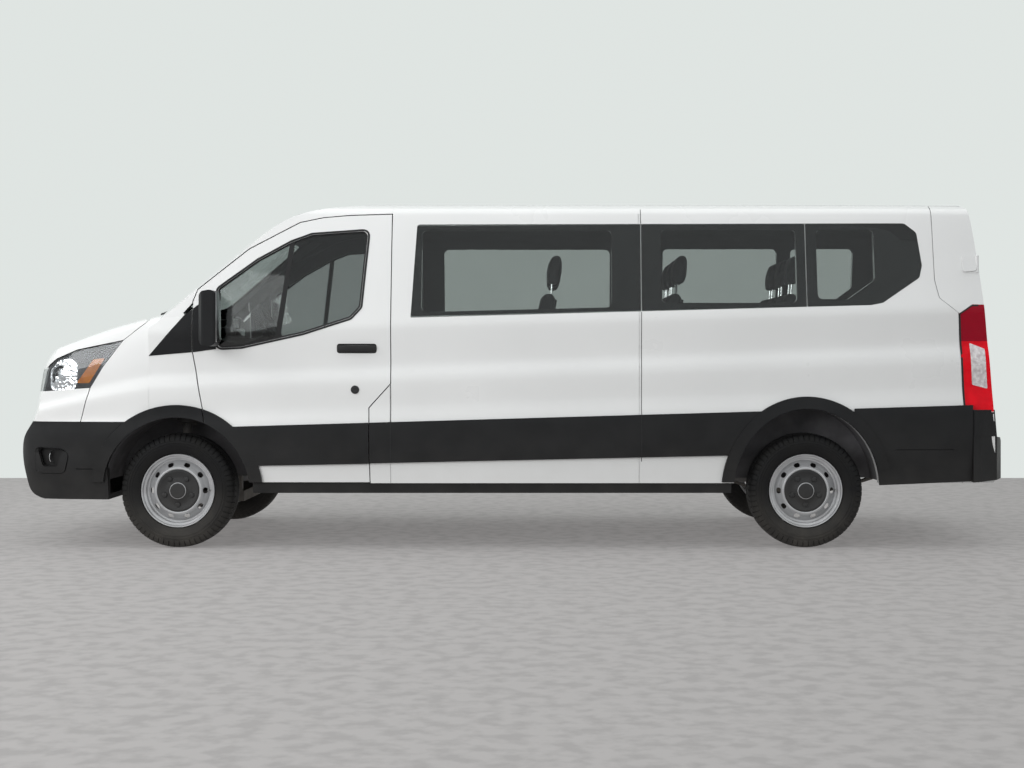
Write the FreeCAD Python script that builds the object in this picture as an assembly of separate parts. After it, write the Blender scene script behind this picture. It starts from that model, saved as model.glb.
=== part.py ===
import FreeCAD, Part
import math
import os
from FreeCAD import Vector, Rotation, Placement

# A white full-size passenger van with a low roof and a long wheelbase.
# Frame: X runs from the nose (minus) to the tail, Y to the vehicle's right, Z up,
# origin on the ground under the middle of the vehicle. Sizes are in millimetres.

doc = FreeCAD.newDocument("minibus")
sheet = doc.addObject("Spreadsheet::Sheet", "sizes")

SIZES = [
    # whole vehicle
    ("overall_length", 5981),
    ("body_half_width", 1030),
    ("roof_edge_height", 2049),
    ("roof_crown", 45),
    ("wheelbase", 3750),
    ("front_overhang", 1023),
    ("wall", 55),
    ("shut_gap", 6),
    ("seat_gap", 0.3),
    ("glass_thickness", 5),
    # wheels
    ("tyre_diameter", 684),
    ("tyre_width", 236),
    ("rim_diameter", 440),
    ("rim_width", 186),
    ("disc_offset", 58),
    ("hand_hole_circle", 158),
    ("hand_hole_count", 10),
    ("track_front", 1732),
    ("track_rear", 1743),
    # wheel arches
    ("front_arch_radius", 440),
    ("rear_arch_height", 490),
    ("rear_arch_half_width", 434),
    ("flare_width", 74),
    ("flare_proud", 20),
    ("liner_thickness", 5),
    # side lines at the middle of the wheelbase
    ("rocker_bottom", 330),
    ("rocker_top", 396),
    ("cladding_bottom", 528),
    ("cladding_top", 775),
    ("line_rise", 0.029),
    ("floor_top", 700),
    ("floor_thickness", 40),
    # underbody
    ("rail_spacing", 860),
    ("rail_width", 70),
    ("rail_height", 150),
    ("axle_tube_radius", 48),
]
for row, (alias, value) in enumerate(SIZES, start=1):
    sheet.set("A%d" % row, alias.replace("_", " "))
    sheet.set("B%d" % row, str(value))
    sheet.setAlias("B%d" % row, alias)
doc.recompute()


def size(alias):
    return float(sheet.get(alias))


subparts = []


def keep(label, shape):
    """Adds one sub-part whose shape is worked out in code from the sheet."""
    feature = doc.addObject("Part::Feature", label)
    feature.Label = label
    feature.Shape = shape
    subparts.append(feature)
    return feature


length = size("overall_length")
half_width = size("body_half_width")
roof_edge = size("roof_edge_height")
crown = size("roof_crown")
wall = size("wall")
gap = size("shut_gap")
seat = size("seat_gap")
glass = size("glass_thickness")
front_axle_x = -length / 2 + size("front_overhang")
rear_axle_x = front_axle_x + size("wheelbase")
hub_height = size("tyre_diameter") / 2
rise = size("line_rise")


NEARLY_STRAIGHT = math.radians(176)


def polygon(points, radius=0):
    """A flat face with these corners, each turned as an arc where a radius is given."""
    corners = [Vector(*p) for p in points]
    if not radius:
        return Part.Face(Part.makePolygon(corners + [corners[0]]))
    arcs = []
    for index, corner in enumerate(corners):
        back = corners[index - 1] - corner
        ahead = corners[(index + 1) % len(corners)] - corner
        turn = back.getAngle(ahead)
        if turn > NEARLY_STRAIGHT:
            arcs.append((corner, corner, corner))
            continue
        trim = min(radius / math.tan(turn / 2), 0.45 * back.Length, 0.45 * ahead.Length)
        back.normalize()
        ahead.normalize()
        arc_radius = trim * math.tan(turn / 2)
        inward = (back + ahead).normalize()
        middle = corner + inward * (arc_radius / math.sin(turn / 2) - arc_radius)
        arcs.append((corner + back * trim, middle, corner + ahead * trim))
    edges = []
    for index, (start, middle, end) in enumerate(arcs):
        if start != end:
            edges.append(Part.Arc(start, middle, end).toShape())
        edges.append(Part.makeLine(end, arcs[(index + 1) % len(arcs)][0]))
    return Part.Face(Part.Wire(edges))


def prism_xz(points, y_from, y_to, radius=0):
    """A side-view outline, pushed along Y."""
    face = polygon([(x, y_from, z) for x, z in points], radius)
    return face.extrude(Vector(0, y_to - y_from, 0))


def prism_yz(points, x_from, x_to, radius=0):
    """A front-view outline, pushed along X."""
    face = polygon([(x_from, y, z) for y, z in points], radius)
    return face.extrude(Vector(x_to - x_from, 0, 0))


def prism_xy(points, z_from, z_to, radius=0):
    """A plan outline, pushed along Z."""
    face = polygon([(x, y, z_from) for x, y in points], radius)
    return face.extrude(Vector(0, 0, z_to - z_from))


def box(x_from, x_to, y_from, y_to, z_from, z_to):
    corner = Vector(x_from, y_from, z_from)
    return Part.makeBox(x_to - x_from, y_to - y_from, z_to - z_from, corner)


def cylinder_y(x, z, radius, y_from, y_to):
    return Part.makeCylinder(radius, y_to - y_from, Vector(x, y_from, z), Vector(0, 1, 0))


def ellipse_y(x, z, half_wide, high, y_from, y_to):
    middle = Vector(x, y_from, z)
    outline = Part.Ellipse(middle + Vector(0, 0, high), middle + Vector(half_wide, 0, 0), middle)
    return Part.Face(Part.Wire(outline.toShape())).extrude(Vector(0, y_to - y_from, 0))


def mirrored(shape):
    return shape.mirror(Vector(0, 0, 0), Vector(0, 1, 0))


def curve(points):
    spline = Part.BSplineCurve()
    spline.buildFromPoles([Vector(*p) for p in points], False, 3)
    return spline.toShape()


# Body forms.
# The body's cross-section: control points from the sill over the side to the roof's edge,
# each as distance in from the half width, height, and how much it rises per
# millimetre of length. The roof follows, as distance in and height over the roof's edge.
SIDE_POINTS = [
    (50, 290, 0), (36, 395, 0.012), (12, 515, 0.02), (5, 600, 0.025), (5, 740, rise),
    (9, 780, rise), (20, 835, 0.03), (22, 900, 0.032), (10, 1000, 0.035), (12, 1065, 0.038),
    (30, 1098, 0.038), (24, 1180, 0.035), (11, 1290, 0.03), (6, 1350, 0.028),
    (16, 1395, 0.028), (34, 1500, 0.015), (72, 1720, 0), (108, 1900, 0),
]
ROOF_POINTS = [(126, -80), (140, -25), (205, 8), (330, 28), (600, 42), (half_width, crown)]
# The plan of the body: distance in from the half width at places along it.
PLAN_POINTS = [
    (-3080, 430), (-2930, 195), (-2850, 118), (-2700, 62), (-2450, 28), (-2100, 8),
    (-1500, 0), (1500, 0), (2400, 10), (2800, 35), (3100, 70),
]


def side_form(inset):
    sections = []
    for x, plan_inset in PLAN_POINTS:
        left = [
            (x, -(half_width - distance - plan_inset - inset), z + slope * x)
            for distance, z, slope in SIDE_POINTS
        ]
        narrowed = (half_width - plan_inset - inset) / half_width
        left += [
            (x, -(half_width - distance) * narrowed, roof_edge + z - inset)
            for distance, z in ROOF_POINTS
        ]
        right = [(px, -py, pz) for px, py, pz in reversed(left[:-1])]
        over = curve(left + right)
        bottom = Part.makeLine(Vector(*right[-1]), Vector(*left[0]))
        sections.append(Part.Wire([over, bottom]))
    return Part.makeLoft(sections, True, False)


# Cabin outline seen from the side: windscreen and roof, then the tail. Each point is
# x, z, its share of the windscreen's or tail's bow and its share of the roof's crown.
WINDSCREEN_BOW = 130
TAIL_BOW = 35
OVER_ROOF = [
    (-2340, -868, 1, 0), (-2140, -704, 1, 0), (-1960, -557, 1, 0), (-1560, -234, 1, 0.2), (-1330, -49, 0.8, 0.7),
    (-1060, -2, 0.4, 1), (-760, 12, 0, 1), (0, 60, 0, 1), (1500, 60, 0, 1), (2500, 40, 0, 1),
    (2700, 20, 0, 1),
]
DOWN_TAIL = [
    (2700, 20, 0, 1), (2770, 10, 0.3, 1), (2785, -59, 1, 0.5), (2826, -335, 1, 0),
    (2858, -626, 1, 0), (2886, -899, 1, 0), (2912, -1169, 1, 0), (2925, -1449, 1, 0),
    (2925, -1799, 1, 0),
]
BOW_STATIONS = (-1120, -850, -430, 0, 430, 850, 1120)
FLAT_STATION = 850


def cabin_form(inset):
    sections = []
    for y in BOW_STATIONS:
        side_share = (y / FLAT_STATION) ** 2
        over = [
            (x - WINDSCREEN_BOW * (1 - side_share) * bow + inset * bow, y,
             roof_edge + z + crown * (1 - side_share) * lift - inset * max(lift, 0.6))
            for x, z, bow, lift in OVER_ROOF
        ]
        down = [
            (x + TAIL_BOW * (1 - side_share) * bow - inset * bow, y,
             roof_edge + z + crown * (1 - side_share) * lift - inset * lift)
            for x, z, bow, lift in DOWN_TAIL
        ]
        down[0] = over[-1]
        corner = Vector(over[0][0], y, down[-1][2])
        sections.append(Part.Wire([
            curve(over), curve(down),
            Part.makeLine(Vector(*down[-1]), corner),
            Part.makeLine(corner, Vector(*over[0])),
        ]))
    return Part.makeLoft(sections, True, False)


# Nose: the same sides, closed over the top by the fenders' shoulders and the bonnet.
# Each station has its place, the plan inset and the height of the shoulder.
BONNET_CROWN = 45
NOSE_SECTIONS = [
    (-3080, 430, 1075), (-2930, 195, 1120), (-2850, 118, 1146), (-2700, 62, 1200),
    (-2450, 28, 1290), (-2100, 8, 1385), (-1800, 2, 1425), (-1600, 0, 1440),
]
SHOULDER = [(30, -62), (52, -22), (100, 0), (260, 16), (600, 34), (half_width, BONNET_CROWN)]
LAST_SIDE_POINT = 1290
SIDE_FOLD = 800


def nose_side_form(inset):
    sections = []
    for x, plan_inset, top in NOSE_SECTIONS:
        share = min(1, (top - 100 - SIDE_FOLD) / (LAST_SIDE_POINT - SIDE_FOLD))
        left = [
            (x, -(half_width - distance - plan_inset - inset),
             (z if z < SIDE_FOLD else SIDE_FOLD + (z - SIDE_FOLD) * share) + slope * x)
            for distance, z, slope in SIDE_POINTS if z < LAST_SIDE_POINT
        ]
        narrowed = (half_width - plan_inset - inset) / half_width
        left += [
            (x, -(half_width - distance) * narrowed, top + z - inset) for distance, z in SHOULDER
        ]
        right = [(px, -py, pz) for px, py, pz in reversed(left[:-1])]
        bottom = Part.makeLine(Vector(*right[-1]), Vector(*left[0]))
        sections.append(Part.Wire([curve(left + right), bottom]))
    return Part.makeLoft(sections, True, False)


# Nose outline seen from the side: front face and under the bumper. Each point is
# x, z and how far the plan bow moves it.
NOSE_POINTS = [
    (-1550, 1560, 0), (-2100, 1460, 0), (-2500, 1340, 40),
    (-2700, 1230, 66), (-2780, 1150, 74), (-2812, 1080, 75), (-2826, 1010, 73),
    (-2842, 900, 68), (-2868, 760, 58), (-2925, 690, 52), (-2944, 610, 50), (-2938, 500, 50),
    (-2912, 400, 50), (-2890, 310, 50), (-2770, 280, 30), (-2600, 268, 0), (-2300, 265, 0),
    (-1550, 265, 0),
]
NOSE_STATIONS = [
    (-1120, 3.6), (-1000, 1.7), (-900, 0.6), (-800, 0), (-430, -0.75), (0, -1),
    (430, -0.75), (800, 0), (900, 0.6), (1000, 1.7), (1120, 3.6),
]


def nose_form(inset):
    sections = []
    for y, bow_share in NOSE_STATIONS:
        over = []
        for x, z, bow in NOSE_POINTS:
            inward = inset if bow > 0 else 0
            upward = inset if z < 320 else 0
            over.append((x + bow * bow_share + inward, y, z + upward))
        sections.append(Part.Wire([
            curve(over), Part.makeLine(Vector(*over[-1]), Vector(*over[0])),
        ]))
    return Part.makeLoft(sections, True, False)


def nose_solid(inset):
    return nose_form(inset).common(nose_side_form(inset))


# The cabin and nose forms, each with an inner form one wall inside.
side_outer = side_form(0)
side_inner = side_form(wall)
cabin = cabin_form(0).common(side_outer)
cabin_inner = cabin_form(wall).common(side_inner)
cabin_shell = cabin.cut(cabin_inner)
nose = nose_solid(0)
nose_inner = nose_solid(wall)
nose_shell = nose.cut(nose_inner)

# Wheel arches cut through the sides and the bumper.
front_opening = cylinder_y(front_axle_x, hub_height, size("front_arch_radius"), -1200, 1200)
rear_arch_width = size("rear_arch_half_width")
rear_arch_height = size("rear_arch_height")
rear_opening = ellipse_y(rear_axle_x, hub_height, rear_arch_width, rear_arch_height, -1200, 1200)
arch_openings = front_opening.fuse(rear_opening)

# Side-view lines of the shut gaps.
pillar_x = -691
door_front_high = (-1868, 1470)
door_front_belt = (-1868, 1174)
door_front_low = (-1799, 779)
sill_top = size("rocker_top")
DOOR_TOP = [(-1841, 1542), (-1542, 1785), (-1242, 1946), (-1100, 1976), (-942, 1989)]
door_roof = 1997
tail_seam = [(2548, 2200), (2552, 1600), (2576, 1493), (2689, 1404), (2720, 850), (2720, 200)]
cowl_x = -2135
cowl_z = 1361
lamp_corner = (-2288, 1237)
bumper_top = 755
fender_low = (-2543, bumper_top + seat)
bumper_rear_x = -2381


def front_door_outline(margin):
    """The front door seen from the side, grown by a margin all round."""
    points = [
        (pillar_x + gap / 2 + margin - gap, door_roof + margin),
        (DOOR_TOP[-1][0], DOOR_TOP[-1][1] + margin),
    ]
    points += [(x - margin * 0.6, z + margin * 0.8) for x, z in reversed(DOOR_TOP[:-1])]
    points += [
        (door_front_high[0] - margin, door_front_high[1] + margin * 0.6),
        (door_front_belt[0] - margin, door_front_belt[1]),
        (door_front_low[0] - margin, door_front_low[1]),
        (door_front_low[0] + 4 - margin, size("front_arch_radius") + 290),
        (door_front_low[0] + 4 - margin, sill_top - margin),
        (pillar_x + gap / 2 + margin - gap, sill_top - margin),
    ]
    return points


left_y = -1200
door_region = prism_xz(front_door_outline(0), left_y, -300).cut(arch_openings)
door_hole = prism_xz(front_door_outline(gap), left_y, -300)
door_holes = door_hole.fuse(mirrored(door_hole))

# Front door: a thick lower half and a window frame, with the window cut through.
DOOR_WINDOW = [
    (-832, 1897), (-873, 1438), (-932, 1374), (-1213, 1283), (-1578, 1202), (-1722, 1194),
    (-1722, 1546), (-1486, 1719), (-1288, 1829), (-1168, 1873),
]
window_radius = 34
window_cut = prism_xz(DOOR_WINDOW, left_y, -300, window_radius)
door_shell = cabin_shell.common(door_region)
door_panel = door_shell.cut(window_cut)
# On the left the fuel flap's panel takes the door's lower rear corner.
flap_top = 981
flap_front_x = -818
flap_shoulder = 838


def flap_outline(margin):
    return [
        (pillar_x + gap / 2, flap_top + margin * 1.5), (flap_front_x - margin, flap_shoulder + margin * 0.4),
        (flap_front_x + 6 - margin, 380), (pillar_x + gap / 2, 380)]


flap_zone = prism_xz(flap_outline(0), left_y, -300)
flap_hole = prism_xz(flap_outline(gap), left_y, -300)
keep("front_door_panel_left", door_panel.cut(flap_hole))
keep("front_door_panel_right", mirrored(door_panel))

glass_outer = side_form(10)
glass_inner = side_form(10 + glass)
door_pane = glass_outer.common(window_cut).cut(glass_inner)
keep("front_door_glass_left", door_pane)
keep("front_door_glass_right", mirrored(door_pane))

# Cladding band with the arch flares, one strip proud of the sheet metal.
proud = size("flare_proud")
flare_skin = side_form(-proud).common(box(-3200, 3200, left_y, -500, 300, 1200)).cut(side_form(-seat))
front_flare = cylinder_y(front_axle_x, hub_height,
                         size("front_arch_radius") + size("flare_width"), left_y, 0).cut(front_opening)
rear_flare = ellipse_y(rear_axle_x, hub_height, rear_arch_width + size("flare_width"),
                       rear_arch_height + size("flare_width"), left_y, 0).cut(rear_opening)
band_low = size("cladding_bottom")
band_high = size("cladding_top")


def band_outline(x_from, x_to, low_from, low_to):
    return [
        (x_from, low_from), (x_to, low_to),
        (x_to, band_high + rise * x_to), (x_from, band_high + rise * x_from),
    ]


above_sill = box(-3100, 3100, left_y, 0, sill_top, 1200)
flare_front_all = flare_skin.common(front_flare).common(above_sill)
door_band = flare_skin.common(prism_xz(band_outline(-1900, pillar_x - gap / 2, 488, 510), left_y, 0))
door_trim = door_band.fuse(flare_front_all).common(door_region)
# The black corner ahead of the window: one half on the door, one on the fender.
CORNER_TRIM = [(-2132, 1147), (-1922, 1387), (-1823, 1464), (-1729, 1500), (-1729, 1188), (-1851, 1171)]
corner_proud = 3
corner_skin = side_form(-corner_proud).common(
    box(-2200, -1700, left_y, -500, 1100, 1550)).cut(side_form(-seat))
corner_trim = corner_skin.common(prism_xz(CORNER_TRIM, left_y, 0))
keep("front_door_trim_left", Part.makeCompound([
    door_trim.cut(flap_hole), corner_trim.common(door_region)]))
keep("front_door_trim_right", mirrored(Part.makeCompound([
    door_trim, corner_trim.common(door_region)])))

behind_arch_x = rear_axle_x + 280
cladding_end_x = 2770
tail_groove = prism_xz([(2306, 588), (2653, 588), (2653, 594), (2306, 594)], left_y, 0).cut(side_form(6 - proud))
side_band = flare_skin.common(prism_xz(band_outline(pillar_x + gap / 2, 1700, 513, 565), left_y, 0))
tail_band = flare_skin.common(prism_xz(band_outline(behind_arch_x, cladding_end_x, 372, 400), left_y, 0))
flare_rear = flare_skin.common(rear_flare).common(above_sill)
side_cladding = side_band.fuse([tail_band, flare_rear]).cut([rear_opening, tail_groove])
fender_flare = flare_front_all.cut([door_hole, nose])
fender_corner = corner_trim.cut([door_hole, nose])
flap_band = flare_skin.common(prism_xz(band_outline(-900, pillar_x + gap / 2, 508, 513), left_y, 0)).common(flap_zone)
keep("side_cladding", Part.makeCompound(
    [side_cladding.fuse(flap_band), fender_flare, fender_corner,
     mirrored(side_cladding), mirrored(fender_flare), mirrored(fender_corner)]))

# Body sides from the middle pillar to the tail seam.
roof_edge_y = 800
roof_region = box(-1500, 2741, -roof_edge_y, roof_edge_y, 1955, 2300)
side_region = prism_xz(
    [(pillar_x + gap / 2, 2300)] + tail_seam + [(pillar_x + gap / 2, 200)], left_y, 0)
sill_cut = box(-3200, 3200, left_y, 1200, 0, sill_top - gap + seat)
side_wall = cabin_shell.common(side_region).cut([arch_openings, sill_cut, roof_region])
BAND = [
    (-541, 1927), (-573, 1390), (-573, 1375), (2165, 1449), (2236, 1463), (2461, 1614),
    (2479, 1687), (2453, 1888), (2381, 1944), (-530, 1936),
]
# Window openings and panes, on the left and then on the right with its sliding door.
WINDOWS_LEFT = [
    [(-510, 1900), (-510, 1408), (623, 1408), (623, 1900)],
    [(918, 1904), (918, 1463), (1727, 1463), (1727, 1904)],
    [(1849, 1904), (1849, 1485), (2029, 1485), (2194, 1600), (2194, 1904)],
]
WINDOWS_RIGHT = [
    [(-488, 1900), (-488, 1408), (682, 1408), (682, 1900)],
    [(1055, 1904), (1055, 1463), (1859, 1463), (1859, 1904)],
    [(1955, 1904), (1955, 1485), (2200, 1485), (2395, 1630), (2395, 1904)],
]
PANES_LEFT = [(-600, 797), (801, 1782), (1786, 2600)]
PANES_RIGHT = [(-600, 778), (788, 1905), (1909, 2600)]
band_radius = 40
recess = prism_xz(BAND, left_y, 0, band_radius).cut(side_form(9))


def window_holes(outlines):
    return [prism_xz(outline, left_y, -300, window_radius) for outline in outlines]


groove = 5
body_seam_x = 786
seam_lines = prism_xz([(body_seam_x - 2, 2000), (body_seam_x + 2, 2000), (body_seam_x + 2, 380),
                       (body_seam_x - 2, 380)], left_y, -600)
seam_lines = seam_lines.fuse(prism_xz(
    [(x - 4, z) for x, z in tail_seam] + [(x + 1, z) for x, z in reversed(tail_seam)], left_y, -600))
seam_grooves = seam_lines.cut(side_form(groove))
side_wall = side_wall.cut(recess)
# A flange behind the front door's rear edge, where its seal rests.
flange_depth = 6
flange_x = pillar_x - 15
flange_zone = prism_xz([(flange_x, 1960), (pillar_x + 35, 1960), (pillar_x + 35, 420), (flange_x, 420)],
                       left_y, -300)
flange = side_form(wall + seat).common(flange_zone).cut(side_form(wall + flange_depth))
flange_root = side_form(wall).common(flange_zone.common(
    box(pillar_x + gap / 2, 0, left_y, 0, 0, 2300))).cut(side_form(wall + flange_depth))
side_wall = side_wall.fuse([flange, flange_root])
flap_seams = prism_xz([(pillar_x - gap, 1000), (pillar_x + gap / 2, 1000), (pillar_x + gap / 2, 380),
                       (pillar_x - gap / 2, 380)], left_y, -600).cut(side_form(groove))
side_left = side_wall.fuse(cabin_shell.common(flap_zone)).cut(
    [seam_grooves, flap_seams, sill_cut] + window_holes(WINDOWS_LEFT))
keep("side_left", side_left)
door_back_x = 783
sliding_outline = [
    (pillar_x + gap / 2, 1990), (door_back_x, 1996), (door_back_x, sill_top), (pillar_x + gap / 2, sill_top)]
sliding_zone = mirrored(prism_xz(sliding_outline, left_y, -300))
sliding_hole = mirrored(prism_xz(
    [(pillar_x + gap / 2 - seat, 1990 + seat), (door_back_x + seat, 1996 + seat),
     (door_back_x + seat, sill_top - seat), (pillar_x + gap / 2 - seat, sill_top - seat)], left_y, -300))
sliding_shut_line = mirrored(prism_xz(
    [(pillar_x - 20, 1995), (door_back_x + gap, 2002), (door_back_x + gap, sill_top - gap),
     (pillar_x - 20, sill_top - gap)], left_y, -300).cut(side_form(20)))
right_wall = side_wall.cut(window_holes(WINDOWS_RIGHT))
side_right = mirrored(right_wall)
pillar_depth = 50
pillar_low = sill_top - gap + seat
pillar_zone = prism_xz([(pillar_x - 29, 2040), (pillar_x + 51, 2040), (pillar_x + 51, pillar_low),
                        (pillar_x - 29, pillar_low)], left_y, -300)
pillar_core = side_form(wall + pillar_depth)
middle_pillar = side_form(wall + seat).common(pillar_zone).cut(pillar_core)
pillar_ends = side_form(wall).common(pillar_zone).cut(
    [pillar_core, box(-1000, 0, left_y, 0, sill_top - seat, 1992)])
middle_pillar = mirrored(middle_pillar.fuse(pillar_ends))
rail_slot = mirrored(prism_xz(
    [(door_back_x + gap, 1205), (2390, 1255), (2390, 1281), (door_back_x + gap, 1231)],
    left_y, -300, 8).cut(side_form(14)))
side_right = side_right.cut([sliding_hole, sliding_shut_line, rail_slot]).fuse(middle_pillar)
keep("side_right", side_right)
keep("sliding_door", mirrored(right_wall).cut(side_form(wall)).common(sliding_zone))

side_glass = side_form(1).common(prism_xz(BAND, left_y, 0, band_radius)).cut(side_form(1 + glass))


def side_panes(stretches):
    return [side_glass.common(box(x_from, x_to, left_y, 0, 1300, 2000)) for x_from, x_to in stretches]


keep("side_glass", Part.makeCompound(
    side_panes(PANES_LEFT) + [mirrored(pane) for pane in side_panes(PANES_RIGHT)]))

# Windscreen opening, pillars and header.
SCREEN = [(-800, 1395), (800, 1395), (735, 1950), (300, 1978), (-300, 1978), (-735, 1950)]
screen_hole = prism_yz(SCREEN, -2700, -1000, 70)
front_region = prism_xz(
    [(-2600, 1345), (-2130, 1345), (-2130, 1150), (-1940, 1389), (-1868, 1469), (-1868, 1180),
     (pillar_x + gap / 2 - seat, 1180), (pillar_x + gap / 2 - seat, 2300), (-2600, 2300)],
    left_y, 1200)
cab_frame = cabin_shell.common(front_region).cut([door_holes, screen_hole, roof_region])
roof_seat_y = roof_edge_y - seat
roof = cabin_shell.common(box(-1500, 2741 - seat, -roof_seat_y, roof_seat_y, 1955 + seat, 2300))
ditch_width = 16
ditch = box(-1290, 2750, -roof_edge_y, -roof_edge_y + ditch_width, 1955, 2300).cut(side_form(9))
pressing_depth = 6
pressings = [
    prism_xy([(-900, y - 45), (2420, y - 45), (2420, y + 45), (-900, y + 45)], 1990, 2300, 40).cut(
        side_form(pressing_depth)) for y in (-540, -270, 0, 270, 540)]
roof = roof.cut([screen_hole, door_holes, ditch, mirrored(ditch)] + pressings)
keep("roof", roof)
windscreen = cabin_form(4).common(screen_hole).cut(cabin_form(4 + glass))
keep("windscreen", windscreen.common(side_form(20)))

# Tail: corner pillars and sill, two doors, lamps.
tail_region = prism_xz(
    [(x + seat, z) for x, z in tail_seam] + [(3100, 200), (3100, 2300)], left_y, 1200)
REAR_DOOR = [(4, 700), (4, 1985), (800, 1985), (838, 1940), (880, 1500), (905, 1200), (905, 700)]


door_inner_x = 2748


def rear_door_prism(margin, side):
    points = [
        (side * (y - margin if y < 10 else y + margin),
         z + (margin if z > 1900 else (-margin if z < 800 else 0)))
        for y, z in REAR_DOOR
    ]
    return prism_yz(points, door_inner_x, 3100, 12)


rear_door_hole = prism_yz(
    [(-911, 694), (-911, 1200), (-886, 1500), (-844, 1944), (-806, 1991),
     (806, 1991), (844, 1944), (886, 1500), (911, 1200), (911, 694)],
    door_inner_x - gap, 3100).cut(cabin_form(wall + gap))
LAMP = [(2689.4, 1400), (2772, 1455), (2950, 1450), (2950, 815), (2723, 815), (2720.4, 850)]
lamp_depth = 40
lamp_prism = prism_xz(LAMP, left_y, -912)
tail_lamp = cabin.common(lamp_prism).cut(cabin_form(lamp_depth).common(side_form(lamp_depth)))
tail_frame = cabin_shell.common(tail_region).cut(
    [rear_door_hole, roof_region, lamp_prism, mirrored(lamp_prism), sill_cut])
# A flange inside the rear doors' lower edge, where their seal rests.
tail_flange_zone = box(2700, 3000, -850, 850, 672, 712)
tail_flange = cabin_form(wall + seat).common(tail_flange_zone).cut(cabin_form(wall + flange_depth))
tail_flange_root = cabin_form(wall).common(box(2700, 3000, -850, 850, 672, 694)).cut(
    cabin_form(wall + flange_depth))
keep("rear_frame", tail_frame.fuse([tail_flange, tail_flange_root]))
keep("tail_lamps", Part.makeCompound([tail_lamp, mirrored(tail_lamp)]))
REAR_WINDOW = [(90, 1390), (90, 1890), (730, 1890), (760, 1850), (800, 1390)]
rear_skin = cabin.cut(cabin_form(wall)).common(rear_door_prism(0, -1))
rear_pane_hole = prism_yz([(-y, z) for y, z in REAR_WINDOW], 2600, 3100, 40)
rear_panel = rear_skin.cut(rear_pane_hole)
rear_pane = cabin_form(6).common(rear_pane_hole).cut(cabin_form(6 + glass))
keep("rear_door_panel_left", rear_panel)
keep("rear_door_panel_right", mirrored(rear_panel))
keep("rear_door_glass_left", rear_pane)
keep("rear_door_glass_right", mirrored(rear_pane))

# Nose: bonnet, fenders, fascia, lamps, grille, bumper.
bonnet_side = [
    (-3100, 1064), (-2764, 1078), (-2699, 1132), (-2569, 1186), (-2285, 1243), (cowl_x, cowl_z + 4),
    (cowl_x, 1600), (-3100, 1600)]
hood_arc_radius = 2660
hood_arc_x = -2330 + hood_arc_radius
behind_hood = Part.makeCylinder(hood_arc_radius, 2000, Vector(hood_arc_x, 0, 500))
bonnet = nose_shell.common(prism_xz(bonnet_side, left_y, 1200)).cut(behind_hood)
keep("bonnet", bonnet)
fender_inner_y = -840
fender_outline = [
    lamp_corner, (cowl_x, cowl_z - 2), (-2134, 1600), (-2020, 1600), (-1961, 1453), (-1916, 1386), (-1874, 1427),
    (-1874, 1174), (-1845, 1004), (-1805, 779), (-1801, 730), (front_axle_x, bumper_top + seat), fender_low,
    (-2486, 956), (-2409, 1081)]
fender_zone = prism_xz(fender_outline, left_y, fender_inner_y)
# Ahead of the split the fender follows the nose. Behind it, it is the cabin's foot, with the
# nose's shoulder running on up to the windscreen pillar.
fender_split_x = -2132
shoulder_end_x = -2000
fender_front = nose_shell.common(fender_zone.common(box(-3200, fender_split_x, left_y, 0, 200, 1600)))
shoulder_zone = box(fender_split_x, shoulder_end_x, left_y, fender_inner_y, 1250, 1600)
shoulder = nose_shell.common(shoulder_zone).cut([cabin, door_hole])
fender_back = cabin_shell.common(fender_zone.common(box(fender_split_x, -1700, left_y, 0, 200, 1600)))
fender_back = fender_back.fuse(shoulder)
fender = fender_front.fuse(fender_back).cut(front_opening)
keep("cab_frame", cab_frame.cut([fender_zone, mirrored(fender_zone)]))
keep("fender_left", fender)
keep("fender_right", mirrored(fender))
LAMP_SIDE = [
    (-3100, 1058), (-2764, 1070), (-2699, 1126), (-2569, 1180), (-2294, 1235), (-2414, 1079),
    (-2492, 956), (-2764, 936), (-3100, 925)]
lamp_zone = prism_xz(LAMP_SIDE, left_y, -560)
lens_thickness = 4
lens_gap = 16
lens = nose.common(lamp_zone).cut(nose_solid(lens_thickness))
housing_depth = 120
dipped_bowl = Part.makeSphere(92, Vector(-2655, -862, 1030))
main_bowl = Part.makeSphere(70, Vector(-2775, -690, 1000))
lamp_body = nose_solid(lens_gap).common(lamp_zone).cut([nose_solid(housing_depth), dipped_bowl, main_bowl])
keep("headlamps", Part.makeCompound([lamp_body, mirrored(lamp_body)]))
keep("headlamp_lenses", Part.makeCompound([lens, mirrored(lens)]))
grille_outline = [(-520, 1042), (520, 1042), (545, 980), (420, 790), (-420, 790), (-545, 980)]
grille_hole = prism_yz(grille_outline, -3100, -2600)
fascia_zone = prism_xz(
    [(-3100, bumper_top + seat), (-2548, bumper_top + seat), (-2492, 956), (-2520, 1000), (-2600, 1058), (-3100, 1058)],
    left_y, 1200)
fascia = nose_shell.common(fascia_zone).cut([lamp_zone, mirrored(lamp_zone), grille_hole])
keep("nose_fascia", fascia)
grille_field = nose_solid(12).common(grille_hole).cut(nose_solid(42))
bar_count = 5
bar_pitch = 46
slots = [
    box(-3100, -2600, -490 + 60 * abs(row - 3), -6, 812 + bar_pitch * row, 840 + bar_pitch * row)
    for row in range(bar_count)
]
grille = grille_field.cut(slots + [mirrored(slot) for slot in slots])
keep("grille", grille)
flare_end_z = 480
flare_bound = cylinder_y(front_axle_x, hub_height, size("front_arch_radius") + size("flare_width") + 4,
                         left_y, 1200).common(box(-2600, -1900, left_y, 1200, flare_end_z, 1000))
bumper_zone = prism_xz([(-3200, bumper_top), (-2262, bumper_top), (-2262, flare_end_z),
                        (bumper_rear_x, flare_end_z), (bumper_rear_x, 200), (-3200, 200)], left_y, 1200)
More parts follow.
